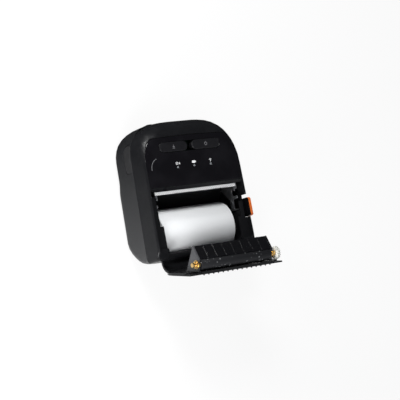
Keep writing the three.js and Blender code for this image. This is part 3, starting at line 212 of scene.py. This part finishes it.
def finished_form(node, material, edge, segments=2):
    """A solid as it leaves its tool: facets merged, edges rounded and curves smooth.

    A point that the rounding throws off the solid by more than the edge is put back on it.
    """
    bpy.ops.object.select_all(action="DESELECT")
    mesh = model[node].data.copy()
    piece = bpy.data.objects.new(f"{node}_form", mesh)
    bpy.context.scene.collection.objects.link(piece)
    bpy.context.view_layer.objects.active = piece
    piece.select_set(True)
    mesh.materials.clear()
    mesh.materials.append(material)
    bpy.ops.object.mode_set(mode="EDIT")
    bpy.ops.mesh.select_all(action="SELECT")
    bpy.ops.mesh.customdata_custom_splitnormals_clear()
    bpy.ops.mesh.remove_doubles(threshold=merge_distance)
    bpy.ops.mesh.dissolve_limited(angle_limit=flat_angle)
    bpy.ops.mesh.quads_convert_to_tris(quad_method="BEAUTY", ngon_method="BEAUTY")
    bpy.ops.object.mode_set(mode="OBJECT")
    if edge > 0:
        bevel = piece.modifiers.new("edge", "BEVEL")
        bevel.width = edge
        bevel.segments = segments
        bevel.limit_method = "ANGLE"
        bevel.angle_limit = rounded_angle
        bevel.use_clamp_overlap = False
        bpy.ops.object.modifier_apply(modifier=bevel.name)
        solid = model[node].data
        walls = BVHTree.FromPolygons(
            [point.co for point in solid.vertices], [face.vertices for face in solid.polygons])
        for point in mesh.vertices:
            nearest, _, _, gap = walls.find_nearest(point.co)
            if gap > edge:
                point.co = nearest
    smooth_faces(piece)
    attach(piece, model[node]["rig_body"])
    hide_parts(node)
    return piece


rear_plastic = material_with(
    "rear_grey_plastic", moulded_grain,
    {"Colour": (0.0095, 0.0099, 0.0112), "Scuffed Colour": (0.013, 0.0135, 0.015),
     "Roughness": 0.38, "Grain Per Metre": 2600.0}, 0.00004, specular=0.35)
case_edge = 0.00025
finished_form("rear_housing", rear_plastic, case_edge)


# Front housing
# The front half of the casing, in charcoal plastic from the same kind of mould, with the
# ledges that the paper cover shuts on and the sloped bezel below the control panel.

front_plastic = material_with(
    "front_charcoal_plastic", moulded_grain,
    {"Colour": (0.0068, 0.007, 0.008), "Scuffed Colour": (0.0092, 0.0095, 0.0105), "Roughness": 0.3,
     "Grain Per Metre": 2600.0}, 0.00002, specular=0.14)
finished_form("front_housing", front_plastic, case_edge)


# Screws
# Four cross-recessed steel screws at the bottom of deep bores in the back, driven into
# bosses of the front half. Their heads are turned and plated.


def build_turned_metal():
    """Fine tool marks, stretched along one axis, with faint stains."""
    group, given, made = shared_effect("turned_metal", [
        ("Colour", "Color", (0.6, 0.6, 0.6, 1)),
        ("Stain Colour", "Color", (0.5, 0.5, 0.5, 1)),
        ("Roughness", "Float", 0.3),
        ("Marks Per Metre", "Vector", (400.0, 6000.0, 6000.0)),
    ])
    place = object_place(group)
    stretch = add_node(
        group, "VectorMath", {0: place, 1: given["Marks Per Metre"]}, operation="MULTIPLY")
    marks = noise(group, stretch.outputs["Vector"], 1.0)
    stained = ranged(group, noise(group, place, 160.0, 4.0), source=(0.45, 0.75))
    gloss = ranged(group, marks, result=(-0.08, 0.1))
    set_inputs(group, made, {
        "Colour": colour_between(group, stained, given["Colour"], given["Stain Colour"]),
        "Roughness": maths(group, "ADD", given["Roughness"], gloss),
        "Height": marks,
    })
    return group


turned_metal = build_turned_metal()
screw_steel = material_with(
    "plated_screw_steel", turned_metal,
    {"Colour": (0.56, 0.56, 0.54), "Stain Colour": (0.45, 0.44, 0.4), "Roughness": 0.32,
     "Marks Per Metre": (3000.0, 3000.0, 3000.0)}, 0.000004, metallic=1.0)
small_edge = 0.0001
for number in range(1, 5):
    finished_form(f"case_screw_{number}", screw_steel, small_edge)


# Control panel
# A thin window of polished black plastic let into the front, curved over the casing's
# shoulder, with openings for the keys and the three status lights.


def build_finger_haze():
    """A polished surface with faint handling haze and dust."""
    group, given, made = shared_effect("finger_haze", [
        ("Colour", "Color", (0.01, 0.01, 0.01, 1)),
        ("Dusty Colour", "Color", (0.02, 0.02, 0.02, 1)),
        ("Roughness", "Float", 0.06),
        ("Hazy Roughness", "Float", 0.16),
    ])
    place = object_place(group)
    haze = ranged(group, noise(group, place, 55.0, 5.0), source=(0.42, 0.72))
    gloss = add_node(group, "Mix", {
        "Factor": haze, "A": given["Roughness"], "B": given["Hazy Roughness"]})
    set_inputs(group, made, {
        "Colour": colour_between(group, haze, given["Colour"], given["Dusty Colour"]),
        "Roughness": gloss.outputs["Result"],
        "Height": noise(group, place, 40.0, 0.0),
    })
    return group


finger_haze = build_finger_haze()
panel_gloss = material_with(
    "polished_black_window", finger_haze,
    {"Colour": (0.0035, 0.0032, 0.0044), "Dusty Colour": (0.0065, 0.0062, 0.0078),
     "Roughness": 0.07, "Hazy Roughness": 0.14}, 0.00002)
finished_form("control_panel", panel_gloss, 0.0003, segments=3)


# Printed signs on the panel
# White ink on the window's face, above the three lights: a sheet with a feed arrow, a
# battery and radio waves. A pale grey arc of ink at the left is a painted highlight on the window.


def printed_ink(title, colour):
    """Ink film: slightly uneven in colour and satin in gloss."""
    return material_with(
        title, finger_haze,
        {"Colour": colour, "Dusty Colour": tuple(0.82 * share for share in colour),
         "Roughness": 0.42, "Hazy Roughness": 0.55}, 0.000002)


white_ink = printed_ink("white_ink", (0.78, 0.79, 0.8))
grey_ink = printed_ink("grey_ink", (0.2, 0.2, 0.21))
ink_depth = 0.00006
line = 0.0004
panel_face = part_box("control_panel")[1].z


def ink_bar(x, y, width, height, turn=0.0, face=None, corner=0.3):
    """A bar of ink with round corners, centred at x, y on a face at height face."""
    bpy.ops.object.select_all(action="DESELECT")
    low = panel_face if face is None else face
    bpy.ops.mesh.primitive_cube_add(size=1, location=(x, y, low + ink_depth / 4))
    bar = bpy.context.object
    bar.scale = (width, height, ink_depth)
    bar.rotation_euler.z = turn
    bpy.ops.object.transform_apply(location=False, rotation=False, scale=True)
    bpy.ops.object.mode_set(mode="EDIT")
    bpy.ops.mesh.select_all(action="DESELECT")
    bpy.ops.object.mode_set(mode="OBJECT")
    for side in bar.data.edges:
        start, end = (bar.data.vertices[i].co for i in side.vertices)
        side.select = abs(start.z - end.z) > ink_depth / 2
    bpy.context.tool_settings.mesh_select_mode = (False, True, False)
    bpy.ops.object.mode_set(mode="EDIT")
    bpy.ops.mesh.bevel(offset=corner * min(width, height), segments=4, affect="EDGES")
    bpy.ops.object.mode_set(mode="OBJECT")
    bpy.ops.object.transform_apply(location=True, rotation=True, scale=True)
    return bar


def ink_arc(x, y, radius, width, start, sweep, face=None):
    """A curved stroke of ink about x, y, from a start angle over a sweep, in degrees."""
    bpy.ops.object.select_all(action="DESELECT")
    low = panel_face if face is None else face
    begin = math.radians(start)
    bpy.ops.mesh.primitive_plane_add(size=1, location=(0, 0, 0), rotation=(math.pi / 2, 0, 0))
    stroke = bpy.context.object
    stroke.scale = (width, ink_depth, 1)
    bpy.ops.object.transform_apply(location=False, rotation=True, scale=True)
    stroke.rotation_euler.z = begin
    out_x, out_y = radius * math.cos(begin), radius * math.sin(begin)
    stroke.location = (x + out_x, y + out_y, low + ink_depth / 4)
    bpy.ops.object.transform_apply(location=True, rotation=True, scale=True)
    bpy.ops.object.mode_set(mode="EDIT")
    bpy.ops.mesh.select_all(action="SELECT")
    bpy.ops.mesh.spin(
        steps=max(6, int(sweep / 8)), angle=-math.radians(sweep), center=(x, y, low),
        axis=(0, 0, 1))
    bpy.ops.mesh.select_all(action="SELECT")
    bpy.ops.mesh.remove_doubles(threshold=0.000001)
    bpy.ops.mesh.normals_make_consistent(inside=False)
    bpy.ops.object.mode_set(mode="OBJECT")
    return stroke


def join_as(title, pieces, material, body):
    """Joins strokes or parts into one named piece that rides on a body."""
    bpy.ops.object.select_all(action="DESELECT")
    for piece in pieces:
        piece.select_set(True)
    bpy.context.view_layer.objects.active = pieces[0]
    if len(pieces) > 1:
        bpy.ops.object.join()
    joined = bpy.context.view_layer.objects.active
    joined.name = title
    joined.data.materials.clear()
    joined.data.materials.append(material)
    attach(joined, body)
    return joined


sign_y = 0.0428
light_names = ("status", "battery", "radio")
left_x, middle_x, right_x = [
    sum(corner.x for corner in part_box(f"{name}_light_guide")) / 2 for name in light_names
]
sheet_strokes = [
    ink_bar(left_x - 0.0016, sign_y, line, 0.0026), ink_bar(left_x + 0.0006, sign_y, line, 0.0026),
    ink_bar(left_x - 0.0005, sign_y + 0.0011, 0.0024, line),
    ink_bar(left_x - 0.0005, sign_y - 0.0011, 0.0024, line),
    ink_bar(left_x - 0.0005, sign_y + 0.0002, 0.0012, line),
    ink_bar(left_x + 0.0023, sign_y + 0.0003, line, 0.0019),
    ink_bar(left_x + 0.0019, sign_y - 0.0006, line, 0.0013, math.radians(45)),
    ink_bar(left_x + 0.0027, sign_y - 0.0006, line, 0.0013, math.radians(-45)),
]
join_as("sheet_sign", sheet_strokes, white_ink, "body")
battery_strokes = [
    ink_bar(middle_x - 0.0001, sign_y, 0.0038, 0.0024),
    ink_bar(middle_x + 0.0021, sign_y, 0.0006, 0.0012),
]
join_as("battery_sign", battery_strokes, white_ink, "body")
radio_strokes = [
    ink_bar(right_x, sign_y - 0.0009, 0.0009, 0.0009, corner=0.45),
    ink_arc(right_x, sign_y - 0.0009, 0.0012, line, 45, 90),
    ink_arc(right_x, sign_y - 0.0009, 0.0021, line, 45, 90),
]
join_as("radio_sign", radio_strokes, white_ink, "body")
# A pale grey ink arc at the window's left: a painted highlight.
painted_arc_highlight = ink_arc(-0.0384, 0.0395, 0.0101, line, 108, 80)
join_as("painted_arc_highlight", [painted_arc_highlight], grey_ink, "body")


# Status lights
# Clear moulded guides that carry the board's lights to the window. Each has a collar
# that stands on the board, and its end is polished flush with the window.

light_plastic, light_tree, light_shader = new_material("clear_light_guide")
light_cloud = noise(light_tree, object_place(light_tree), 900.0)
set_inputs(light_tree, light_shader, {
    "Base Color": (0.5, 0.53, 0.56, 1),
    "Transmission Weight": 0.6,
    "IOR": 1.49,
    "Roughness": ranged(light_tree, light_cloud, result=(0.12, 0.3)),
})
for name in light_names:
    finished_form(f"{name}_light_guide", light_plastic, small_edge)


# Keys
# Two satin charcoal keys that share one long opening in the window, the left one for
# paper feed and the right one for power. Each carries a faint printed sign.

key_plastic = material_with(
    "key_charcoal_plastic", moulded_grain,
    {"Colour": (0.0075, 0.0075, 0.0088), "Scuffed Colour": (0.0105, 0.0105, 0.012),
     "Roughness": 0.34, "Grain Per Metre": 3200.0}, 0.00002, specular=0.2)
key_edge = 0.0008
for node in ("feed_button", "power_button"):
    finished_form(node, key_plastic, key_edge, segments=4)
key_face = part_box("feed_button")[1].z
feed_x = sum(corner.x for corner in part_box("feed_button")) / 2
power_x = sum(corner.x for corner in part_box("power_button")) / 2
key_y = sum(corner.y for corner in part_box("power_button")) / 2
feed_strokes = [
    ink_bar(feed_x, key_y + 0.0006, line, 0.0024, face=key_face),
    ink_bar(feed_x - 0.0005, key_y - 0.0004, line, 0.0016, math.radians(45), face=key_face),
    ink_bar(feed_x + 0.0005, key_y - 0.0004, line, 0.0016, math.radians(-45), face=key_face),
    ink_bar(feed_x, key_y - 0.0016, 0.0028, line, face=key_face),
]
join_as("feed_sign", feed_strokes, grey_ink, "feed_key")
power_strokes = [
    ink_arc(power_x, key_y, 0.0014, line, 120, 300, face=key_face),
    ink_bar(power_x, key_y + 0.0013, line, 0.0015, face=key_face),
]
join_as("power_sign", power_strokes, grey_ink, "power_key")


# Circuit board and its switches
# A dark green laminate board under the window, with chips on its underside, a key switch for
# each key, and the sockets' solder side. It is only seen through the compartment.

# The laminate's green is darkened almost to black: painted shade where the board shows in the gap
# between the keys.
board_laminate = material_with(
    "green_laminate", finger_haze,
    {"Colour": (0.003, 0.014, 0.008), "Dusty Colour": (0.005, 0.022, 0.012), "Roughness": 0.3,
     "Hazy Roughness": 0.45}, 0.00001)
finished_form("main_circuit_board", board_laminate, small_edge)
inner_black = material_with(
    "inner_black_moulding", moulded_grain,
    {"Colour": (0.0016, 0.0016, 0.002), "Scuffed Colour": (0.003, 0.003, 0.0036), "Roughness": 0.42,
     "Grain Per Metre": 1800.0}, 0.00003, specular=0.1)
for node in ("feed_switch", "power_switch", "cover_switch", "paper_sensor", "charging_jack"):
    finished_form(node, inner_black, small_edge)
socket_steel = material_with(
    "drawn_socket_steel", turned_metal,
    {"Colour": (0.68, 0.69, 0.7), "Stain Colour": (0.58, 0.58, 0.57), "Roughness": 0.26,
     "Marks Per Metre": (400.0, 5000.0, 5000.0)}, 0.000003, metallic=1.0)
finished_form("usb_socket", socket_steel, small_edge)


# Port flap
# A soft black rubber cover over the two sockets in the left side, flush with the rear
# housing, hinged along its lower edge.

flap_rubber = material_with(
    "port_rubber", moulded_grain,
    {"Colour": (0.0085, 0.0085, 0.0095), "Scuffed Colour": (0.012, 0.012, 0.0135),
     "Roughness": 0.62, "Grain Per Metre": 1500.0}, 0.00005)
finished_form("port_flap", flap_rubber, 0.0004, segments=3)


# Battery and its catch
# A black pack that fills a bay in the upper back, with chamfered edges, a small sliding
# catch with finger ridges below it and a brass contact block at its inner end.

battery_plastic = material_with(
    "battery_black_plastic", moulded_grain,
    {"Colour": (0.022, 0.022, 0.024), "Scuffed Colour": (0.03, 0.03, 0.032), "Roughness": 0.55,
     "Grain Per Metre": 2000.0}, 0.00006)
finished_form("battery_pack", battery_plastic, 0.0004, segments=3)
finished_form("battery_latch", key_plastic, 0.00015)
contact_brass = material_with(
    "contact_brass", turned_metal,
    {"Colour": (0.73, 0.5, 0.2), "Stain Colour": (0.55, 0.36, 0.14), "Roughness": 0.28,
     "Marks Per Metre": (3000.0, 500.0, 3000.0)}, 0.000003, metallic=1.0)
finished_form("battery_contact_block", contact_brass, 0.0002)


# Paper compartment
# The black moulded trough that the roll lies in, with a low cheek at each end and a
# riser that leads up to the print head.

finished_form("paper_compartment", inner_black, 0.0002)


# Print mechanism frame
# Two stamped side plates with open slots for the roller's shaft, tied by a bar. They are
# zinc-plated steel with a fine rolled grain and bright sheared edges.

frame_steel = material_with(
    "zinc_plated_sheet", turned_metal,
    {"Colour": (0.5, 0.51, 0.53), "Stain Colour": (0.4, 0.41, 0.43), "Roughness": 0.36,
     "Marks Per Metre": (4000.0, 260.0, 4000.0)}, 0.000005, metallic=1.0)
for node in ("left_side_frame", "right_side_frame", "frame_crossbar"):
    finished_form(node, frame_steel, 0.00012)


# Print head, heat sink and springs
# A glazed ceramic strip on a finned aluminium sink, pushed forward by two springs that bear
# on the frame's bar. Head and sink are coloured almost black: painted shade where they lie under
# the tear bar.

# The head and its sink are coloured almost black: painted shade where they lie under the tear bar.
head_glaze = material_with(
    "glazed_ceramic", finger_haze,
    {"Colour": (0.009, 0.0085, 0.008), "Dusty Colour": (0.014, 0.013, 0.012), "Roughness": 0.16,
     "Hazy Roughness": 0.25}, 0.000004, specular=0.2)
finished_form("thermal_print_head", head_glaze, 0.0002)
cast_aluminium = material_with(
    "cast_aluminium", turned_metal,
    {"Colour": (0.56, 0.57, 0.58), "Stain Colour": (0.46, 0.47, 0.48), "Roughness": 0.42,
     "Marks Per Metre": (300.0, 3000.0, 3000.0)}, 0.000006, metallic=1.0)
shade_black = material_with(
    "black_anodised_aluminium", turned_metal,
    {"Colour": (0.008, 0.008, 0.009), "Stain Colour": (0.012, 0.012, 0.013), "Roughness": 0.5,
     "Marks Per Metre": (300.0, 3000.0, 3000.0)}, 0.000006, specular=0.2)
finished_form("head_heat_sink", shade_black, 0.00012)
for node in ("head_spring_left", "head_spring_right"):
    finished_form(node, screw_steel, 0.0)


# Tear bar
# A strip of bright pressed steel over the print head with a saw edge, ground in slanting
# strokes, on which the paper is torn off.

tear_steel, tear_tree, tear_shader = new_material("ground_tear_steel")
tear_turn = add_node(tear_tree, "Mapping", {
    "Vector": object_place(tear_tree), "Rotation": (0, 0, math.radians(-38))})
tear_wave = add_node(tear_tree, "TexWave", {
    "Vector": tear_turn.outputs["Vector"], "Scale": 190.0, "Distortion": 1.2, "Detail": 2.0})
tear_strokes = tear_wave.outputs["Fac"]
tear_dark, tear_light = (0.6, 0.61, 0.62, 1), (0.94, 0.945, 0.95, 1)
set_inputs(tear_tree, tear_shader, {
    "Metallic": 0.3,
    "Base Color": colour_between(tear_tree, tear_strokes, tear_dark, tear_light),
    "Roughness": ranged(tear_tree, tear_strokes, result=(0.22, 0.4)),
    "Normal": relief_of(tear_tree, tear_strokes, 0.00002),
})
finished_form("tear_bar", tear_steel, 0.00012)


# Gear drive
# A small motor with a brass pinion turns a white nylon reduction gear and an idler on
# fixed steel axles, outside the right side plate.

finished_form("drive_motor", cast_aluminium, 0.0003)
finished_form("motor_pinion", contact_brass, 0.00006)
gear_nylon = material_with(
    "white_gear_nylon", moulded_grain,
    {"Colour": (0.72, 0.72, 0.68), "Scuffed Colour": (0.64, 0.64, 0.6), "Roughness": 0.42,
     "Grain Per Metre": 1600.0}, 0.00002)
for node in ("reduction_gear", "idler_gear", "platen_gear"):
    finished_form(node, gear_nylon, 0.00008)
turned_steel = material_with(
    "bright_turned_steel", turned_metal,
    {"Colour": (0.6, 0.61, 0.62), "Stain Colour": (0.5, 0.5, 0.5), "Roughness": 0.22,
     "Marks Per Metre": (6000.0, 400.0, 400.0)}, 0.000003, metallic=1.0)
for node in ("reduction_axle", "idler_axle", "latch_shaft", "hinge_pin"):
    finished_form(node, turned_steel, small_edge)


# Latch hooks and release lever
# Two steel hooks on one shaft hold the roller's shaft in its slots. The orange lever at
# the right end of that shaft draws them back when it is pushed.

for node in ("latch_hook_left", "latch_hook_right"):
    finished_form(node, frame_steel, 0.00012)
lever_plastic = material_with(
    "orange_lever_plastic", moulded_grain,
    {"Colour": (0.66, 0.13, 0.018), "Scuffed Colour": (0.72, 0.17, 0.03), "Roughness": 0.4,
     "Grain Per Metre": 2400.0}, 0.00003)


def half_of(piece, title, node, cut, keep_right, material):
    """One side of a closed form, cut across x and closed again."""
    bpy.ops.object.select_all(action="DESELECT")
    half = bpy.data.objects.new(title, piece.data.copy())
    bpy.context.scene.collection.objects.link(half)
    bpy.context.view_layer.objects.active = half
    half.select_set(True)
    bpy.ops.object.mode_set(mode="EDIT")
    bpy.ops.mesh.select_all(action="SELECT")
    bpy.ops.mesh.bisect(
        plane_co=(cut, 0, 0), plane_no=(1, 0, 0), use_fill=True,
        clear_inner=keep_right, clear_outer=not keep_right)
    bpy.ops.mesh.customdata_custom_splitnormals_clear()
    bpy.ops.object.mode_set(mode="OBJECT")
    smooth_faces(half)
    half.data.materials.clear()
    half.data.materials.append(material)
    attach(half, model[node]["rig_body"])
    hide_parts(node)
    return half


lever_form = finished_form("release_lever", lever_plastic, 0.0005, segments=3)
grip_width = 0.003
grip_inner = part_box("release_lever")[1].x - grip_width
lever_grip = half_of(lever_form, "lever_grip", "release_lever", grip_inner, True, lever_plastic)
lever_arm = half_of(lever_form, "lever_arm", "release_lever", grip_inner, False, inner_black)
bpy.data.objects.remove(lever_form)


# Paper cover
# The charcoal front door of the paper compartment, turned fully open on its pin, with
# stiffening ribs inside its hinge end.

finished_form("cover_shell", front_plastic, 0.0003)


# Roller frame and comb
# The black moulding on the cover's free edge that carries the roller, with a ribbed
# guide for the paper, and the toothed strip that keeps a torn edge from slipping back.

guide_black = material_with(
    "satin_black_moulding", moulded_grain,
    {"Colour": (0.0028, 0.0028, 0.0037), "Scuffed Colour": (0.005, 0.005, 0.006), "Roughness": 0.2,
     "Grain Per Metre": 2200.0}, 0.00001, specular=0.55)
guide_form = finished_form("platen_frame", guide_black, 0.0002)
gusset_width = 0.002
gusset_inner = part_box("platen_frame")[0].x + gusset_width
paper_guide = half_of(guide_form, "paper_guide", "platen_frame", gusset_inner, True, guide_black)
# The left end of the one moulding is coloured a lighter grey than the rest of it: painted light on
# that end face.
lit_end_plastic = material_with(
    "grey_gusset_plastic", moulded_grain,
    {"Colour": (0.03, 0.031, 0.034), "Scuffed Colour": (0.042, 0.043, 0.047), "Roughness": 0.42,
     "Grain Per Metre": 2200.0}, 0.00004)
left_gusset = half_of(
    guide_form, "left_gusset", "platen_frame", gusset_inner, False, lit_end_plastic)
bpy.data.objects.remove(guide_form)
finished_form("paper_comb", guide_black, small_edge)
for node in ("platen_bush_left", "platen_bush_right"):
    finished_form(node, contact_brass, 0.00015)
finished_form("platen_shaft", contact_brass, 0.0002)


# Roller
# A sleeve of ground dark-grey rubber on the brass shaft. Paper dust shows on it as small
# pale specks.

roller_rubber, roller_tree, roller_shader = new_material("ground_roller_rubber")
roller_place = object_place(roller_tree)
roller_grind = noise(roller_tree, roller_place, 1500.0, 3.0)
roller_dust = add_node(roller_tree, "TexVoronoi", {"Vector": roller_place, "Scale": 400.0})
roller_specks = ranged(roller_tree, roller_dust.outputs["Distance"], source=(0.3, 0.18))
roller_patches = ranged(roller_tree, noise(roller_tree, roller_place, 130.0), source=(0.46, 0.66))
roller_share = maths(roller_tree, "MULTIPLY", roller_specks, roller_patches)
roller_grey, dust_grey = (0.007, 0.0073, 0.009, 1), (0.42, 0.43, 0.44, 1)
set_inputs(roller_tree, roller_shader, {
    "Specular IOR Level": 0.3,
    "Base Color": colour_between(roller_tree, roller_share, roller_grey, dust_grey),
    "Roughness": ranged(roller_tree, roller_grind, result=(0.5, 0.72)),
    "Normal": relief_of(roller_tree, roller_grind, 0.00004),
})


sleeve_end_angle = math.radians(50)
sleeve_smooth_angle = math.radians(40)


def turned_sleeve(title, node, bore, edge, sides, material):
    """A tube along x on the axis and at the size of a solid, with a bore and rounded ends."""
    low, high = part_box(node)
    centre = (low + high) / 2
    radius = (high.z - low.z) / 2
    bpy.ops.object.select_all(action="DESELECT")
    bpy.ops.mesh.primitive_cylinder_add(
        vertices=sides, radius=radius, depth=high.x - low.x, location=centre,
        rotation=(0, math.pi / 2, 0))
    sleeve = bpy.context.object
    sleeve.name = title
    bpy.context.tool_settings.mesh_select_mode = (False, False, True)
    bpy.ops.object.mode_set(mode="EDIT")
    bpy.ops.mesh.select_all(action="DESELECT")
    bpy.ops.object.mode_set(mode="OBJECT")
    for face in sleeve.data.polygons:
        face.select = abs(face.normal.z) > 0.9
    bpy.ops.object.mode_set(mode="EDIT")
    bpy.ops.mesh.inset(thickness=edge, depth=0)
    bpy.ops.mesh.inset(thickness=radius - edge - bore, depth=0)
    bpy.ops.mesh.bridge_edge_loops()
    bpy.ops.object.mode_set(mode="OBJECT")
    bpy.ops.object.transform_apply(location=True, rotation=True, scale=True)
    bevel = sleeve.modifiers.new("edge", "BEVEL")
    bevel.width = edge / 2
    bevel.segments = 2
    bevel.limit_method = "ANGLE"
    bevel.angle_limit = sleeve_end_angle
    bpy.ops.object.modifier_apply(modifier=bevel.name)
    bpy.ops.object.shade_smooth_by_angle(angle=sleeve_smooth_angle)
    sleeve.data.materials.append(material)
    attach(sleeve, model[node]["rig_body"])
    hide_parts(node)
    return sleeve


def radius_of(node):
    """The radius of a round solid that lies along x."""
    low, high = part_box(node)
    return (high.z - low.z) / 2


sleeve_edge = 0.0003
rubber_fit = 0.00015
rubber_bore = radius_of("platen_shaft") + rubber_fit
roller = turned_sleeve(
    "platen_rubber_sleeve", "platen_rubber", rubber_bore, sleeve_edge, 96, roller_rubber)


# Paper roll
# A full roll of coated white paper wound tightly on a card core. The wound edges show as
# fine rings on both ends, and the coating is smooth and slightly glossy.

roll_low, roll_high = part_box("paper_roll")
roll_centre = (roll_low + roll_high) / 2


def wound_material(title, light, dark, rings_per_metre, roughness):
    """Paper or card whose wound edges show as rings round the roll's axis on its ends."""
    material, tree, shader = new_material(title)
    place = object_place(tree)
    centre = add_node(tree, "Mapping", {
        "Vector": place, "Location": (0, -roll_centre.y, -roll_centre.z)})
    flat = add_node(
        tree, "VectorMath", {0: centre.outputs["Vector"], 1: (0, 1, 1)}, operation="MULTIPLY")
    reach = add_node(tree, "VectorMath", {0: flat.outputs["Vector"]}, operation="LENGTH")
    ring = maths(tree, "SINE", maths(tree, "MULTIPLY", reach.outputs["Value"], rings_per_metre))
    fibre = noise(tree, place, 900.0, 4.0)
    shape = add_node(tree, "NewGeometry", {})
    parts = add_node(tree, "SeparateXYZ", {"Vector": shape.outputs["True Normal"]})
    edge = maths(tree, "MULTIPLY", ring, maths(tree, "ABSOLUTE", parts.outputs["X"]))
    blend = maths(tree, "MULTIPLY_ADD", edge, 0.35, fibre)
    set_inputs(tree, shader, {
        "Base Color": colour_between(tree, blend, (*dark, 1), (*light, 1)),
        "Roughness": ranged(tree, fibre, result=(roughness - 0.08, roughness + 0.08)),
        "Normal": relief_of(tree, blend, 0.00003),
    })
    return material


coated_paper = wound_material(
    "coated_white_paper", (0.9, 0.915, 0.925), (0.84, 0.855, 0.87), 16000.0, 0.5)
paper_edge, paper_fit = 0.0002, 0.0003
paper_bore = radius_of("roll_core") + paper_fit
roll = turned_sleeve("wound_paper", "paper_roll", paper_bore, paper_edge, 160, coated_paper)
wound_card = wound_material("wound_card", (0.52, 0.4, 0.26), (0.4, 0.3, 0.18), 9000.0, 0.75)
card_bore = 0.0063
core = turned_sleeve("wound_core", "roll_core", card_bore, sleeve_edge, 96, wound_card)


# Studio
# A white floor under the printer as it lies on its back, and soft white light that comes
# mostly from the hinge end. Of the four lamps, a large one stands above the keys' end, two
# small ones are low at the left, and a broad weak one fills from the left of the hinge end.

floor_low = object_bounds()[0].z
floor_gap = 0.0002
bpy.ops.object.select_all(action="DESELECT")
bpy.ops.mesh.primitive_plane_add(size=8, location=(0, 0, floor_low - floor_gap))
floor = bpy.context.object
floor.name = "studio_floor"
bpy.ops.object.transform_apply(location=True, rotation=True, scale=True)
floor_white, floor_tree, floor_shader = new_material("studio_white")
set_inputs(floor_tree, floor_shader, {
    "Base Color": (0.86, 0.86, 0.86, 1), "Roughness": 0.9, "Specular IOR Level": 0.0})
floor_rays = add_node(floor_tree, "LightPath", {}).outputs
# Seen in reflections, the floor glows white at the hinge end and fades to almost black towards the
# keys' end, instead of showing its own lit white. This is a painted reflection that darkens the
# printer's sides towards the keys' end.
floor_parts = add_node(floor_tree, "SeparateXYZ", {"Vector": object_place(floor_tree)})
floor_grade = ranged(floor_tree, floor_parts.outputs["Y"], (-0.04, 0.075), (1.0, 0.02))
floor_seen = floor_rays["Is Camera Ray"]
floor_glow = add_node(floor_tree, "Emission", {
    "Color": (1, 1, 1, 1), "Strength": maths(floor_tree, "MAXIMUM", floor_seen, floor_grade)})
floor_mirrored = maths(
    floor_tree, "MAXIMUM", floor_rays["Is Glossy Ray"], floor_rays["Is Transmission Ray"])
floor_share = maths(
    floor_tree, "MAXIMUM", maths(floor_tree, "MULTIPLY", floor_seen, 0.86), floor_mirrored)
floor_mix = add_node(floor_tree, "MixShader", {
    0: floor_share, 1: floor_shader.outputs["BSDF"], 2: floor_glow.outputs["Emission"]})
floor_out = floor_tree.nodes["Material Output"]
set_inputs(floor_tree, floor_out, {"Surface": floor_mix.outputs["Shader"]})
floor.data.materials.append(floor_white)

world = bpy.context.scene.world or bpy.data.worlds.new("studio_light")
bpy.context.scene.world = world
world.use_nodes = True
sky = world.node_tree
sky.nodes.clear()
sky_place = add_node(sky, "TexCoord", {})
sky_parts = add_node(sky, "SeparateXYZ", {"Vector": sky_place.outputs["Generated"]})
sky_grade = ranged(sky, sky_parts.outputs["Y"], (-1.0, 0.05), (1.0, 0.06))
sky_soft = add_node(sky, "Background", {"Color": (0.95, 0.97, 1.0, 1), "Strength": sky_grade})
sky_seen = add_node(sky, "Background", {"Color": (1, 1, 1, 1), "Strength": 1.0})
sky_rays = add_node(sky, "LightPath", {})
sky_mix = add_node(sky, "MixShader", {
    0: sky_rays.outputs["Is Camera Ray"],
    1: sky_soft.outputs["Background"],
    2: sky_seen.outputs["Background"],
})
add_node(sky, "OutputWorld", {"Surface": sky_mix.outputs["Shader"]})


def softbox(title, place, aim, width, height, watts):
    """A rectangular lamp at a place, aimed at a point."""
    bpy.ops.object.light_add(type="AREA", location=place)
    lamp = bpy.context.object
    lamp.name = title
    lamp.data.shape = "RECTANGLE"
    lamp.data.size = width
    lamp.data.size_y = height
    lamp.data.energy = watts
    lamp.rotation_euler = (Vector(aim) - Vector(place)).to_track_quat("-Z", "Y").to_euler()


softbox("key_softbox", (-0.3, 0.54, 0.62), (0, 0.02, 0.03), 0.3, 0.25, 5.3)
softbox("corner_softbox", (-0.42, 0.66, 0.2), (-0.05, 0.07, 0.05), 0.16, 0.16, 3.4)
softbox("left_softbox", (-0.3, -0.22, 0.13), (-0.05, -0.03, 0.03), 0.16, 0.16, 1.2)
softbox("front_fill", (-0.45, -0.42, 0.8), (0, -0.01, 0.03), 0.5, 0.5, 2.2)

# The camera stands where the photograph was taken from: a long lens 1.5 m away, seen from
# the lower left, with the printer's length leaning to the left in the picture.

turn, tilt, lean = math.radians(34.979), math.radians(-4.615), math.radians(10.385)
target = Vector((0, 0.019, 0.027))
shift_right, shift_down, distance = 0.019717, 0.008139, 1.523636
sensor_width, picture_width, focal_pixels = 36, 400, 1560.748
back = Vector((-math.sin(turn) * math.cos(tilt), math.sin(tilt), math.cos(turn) * math.cos(tilt)))
across = Vector((math.cos(turn), 0, math.sin(turn)))
above = back.cross(across)
right = across * math.cos(lean) - above * math.sin(lean)
up = across * math.sin(lean) + above * math.cos(lean)
bpy.ops.object.camera_add(location=target + right * shift_right - up * shift_down + back * distance)
camera = bpy.context.object
camera.name = "camera"
camera.data.sensor_width = sensor_width
camera.data.lens = focal_pixels * sensor_width / picture_width
camera.rotation_euler = Matrix((right, up, back)).transposed().to_euler()
bpy.context.scene.camera = camera
bpy.context.scene.view_settings.view_transform = "Standard"
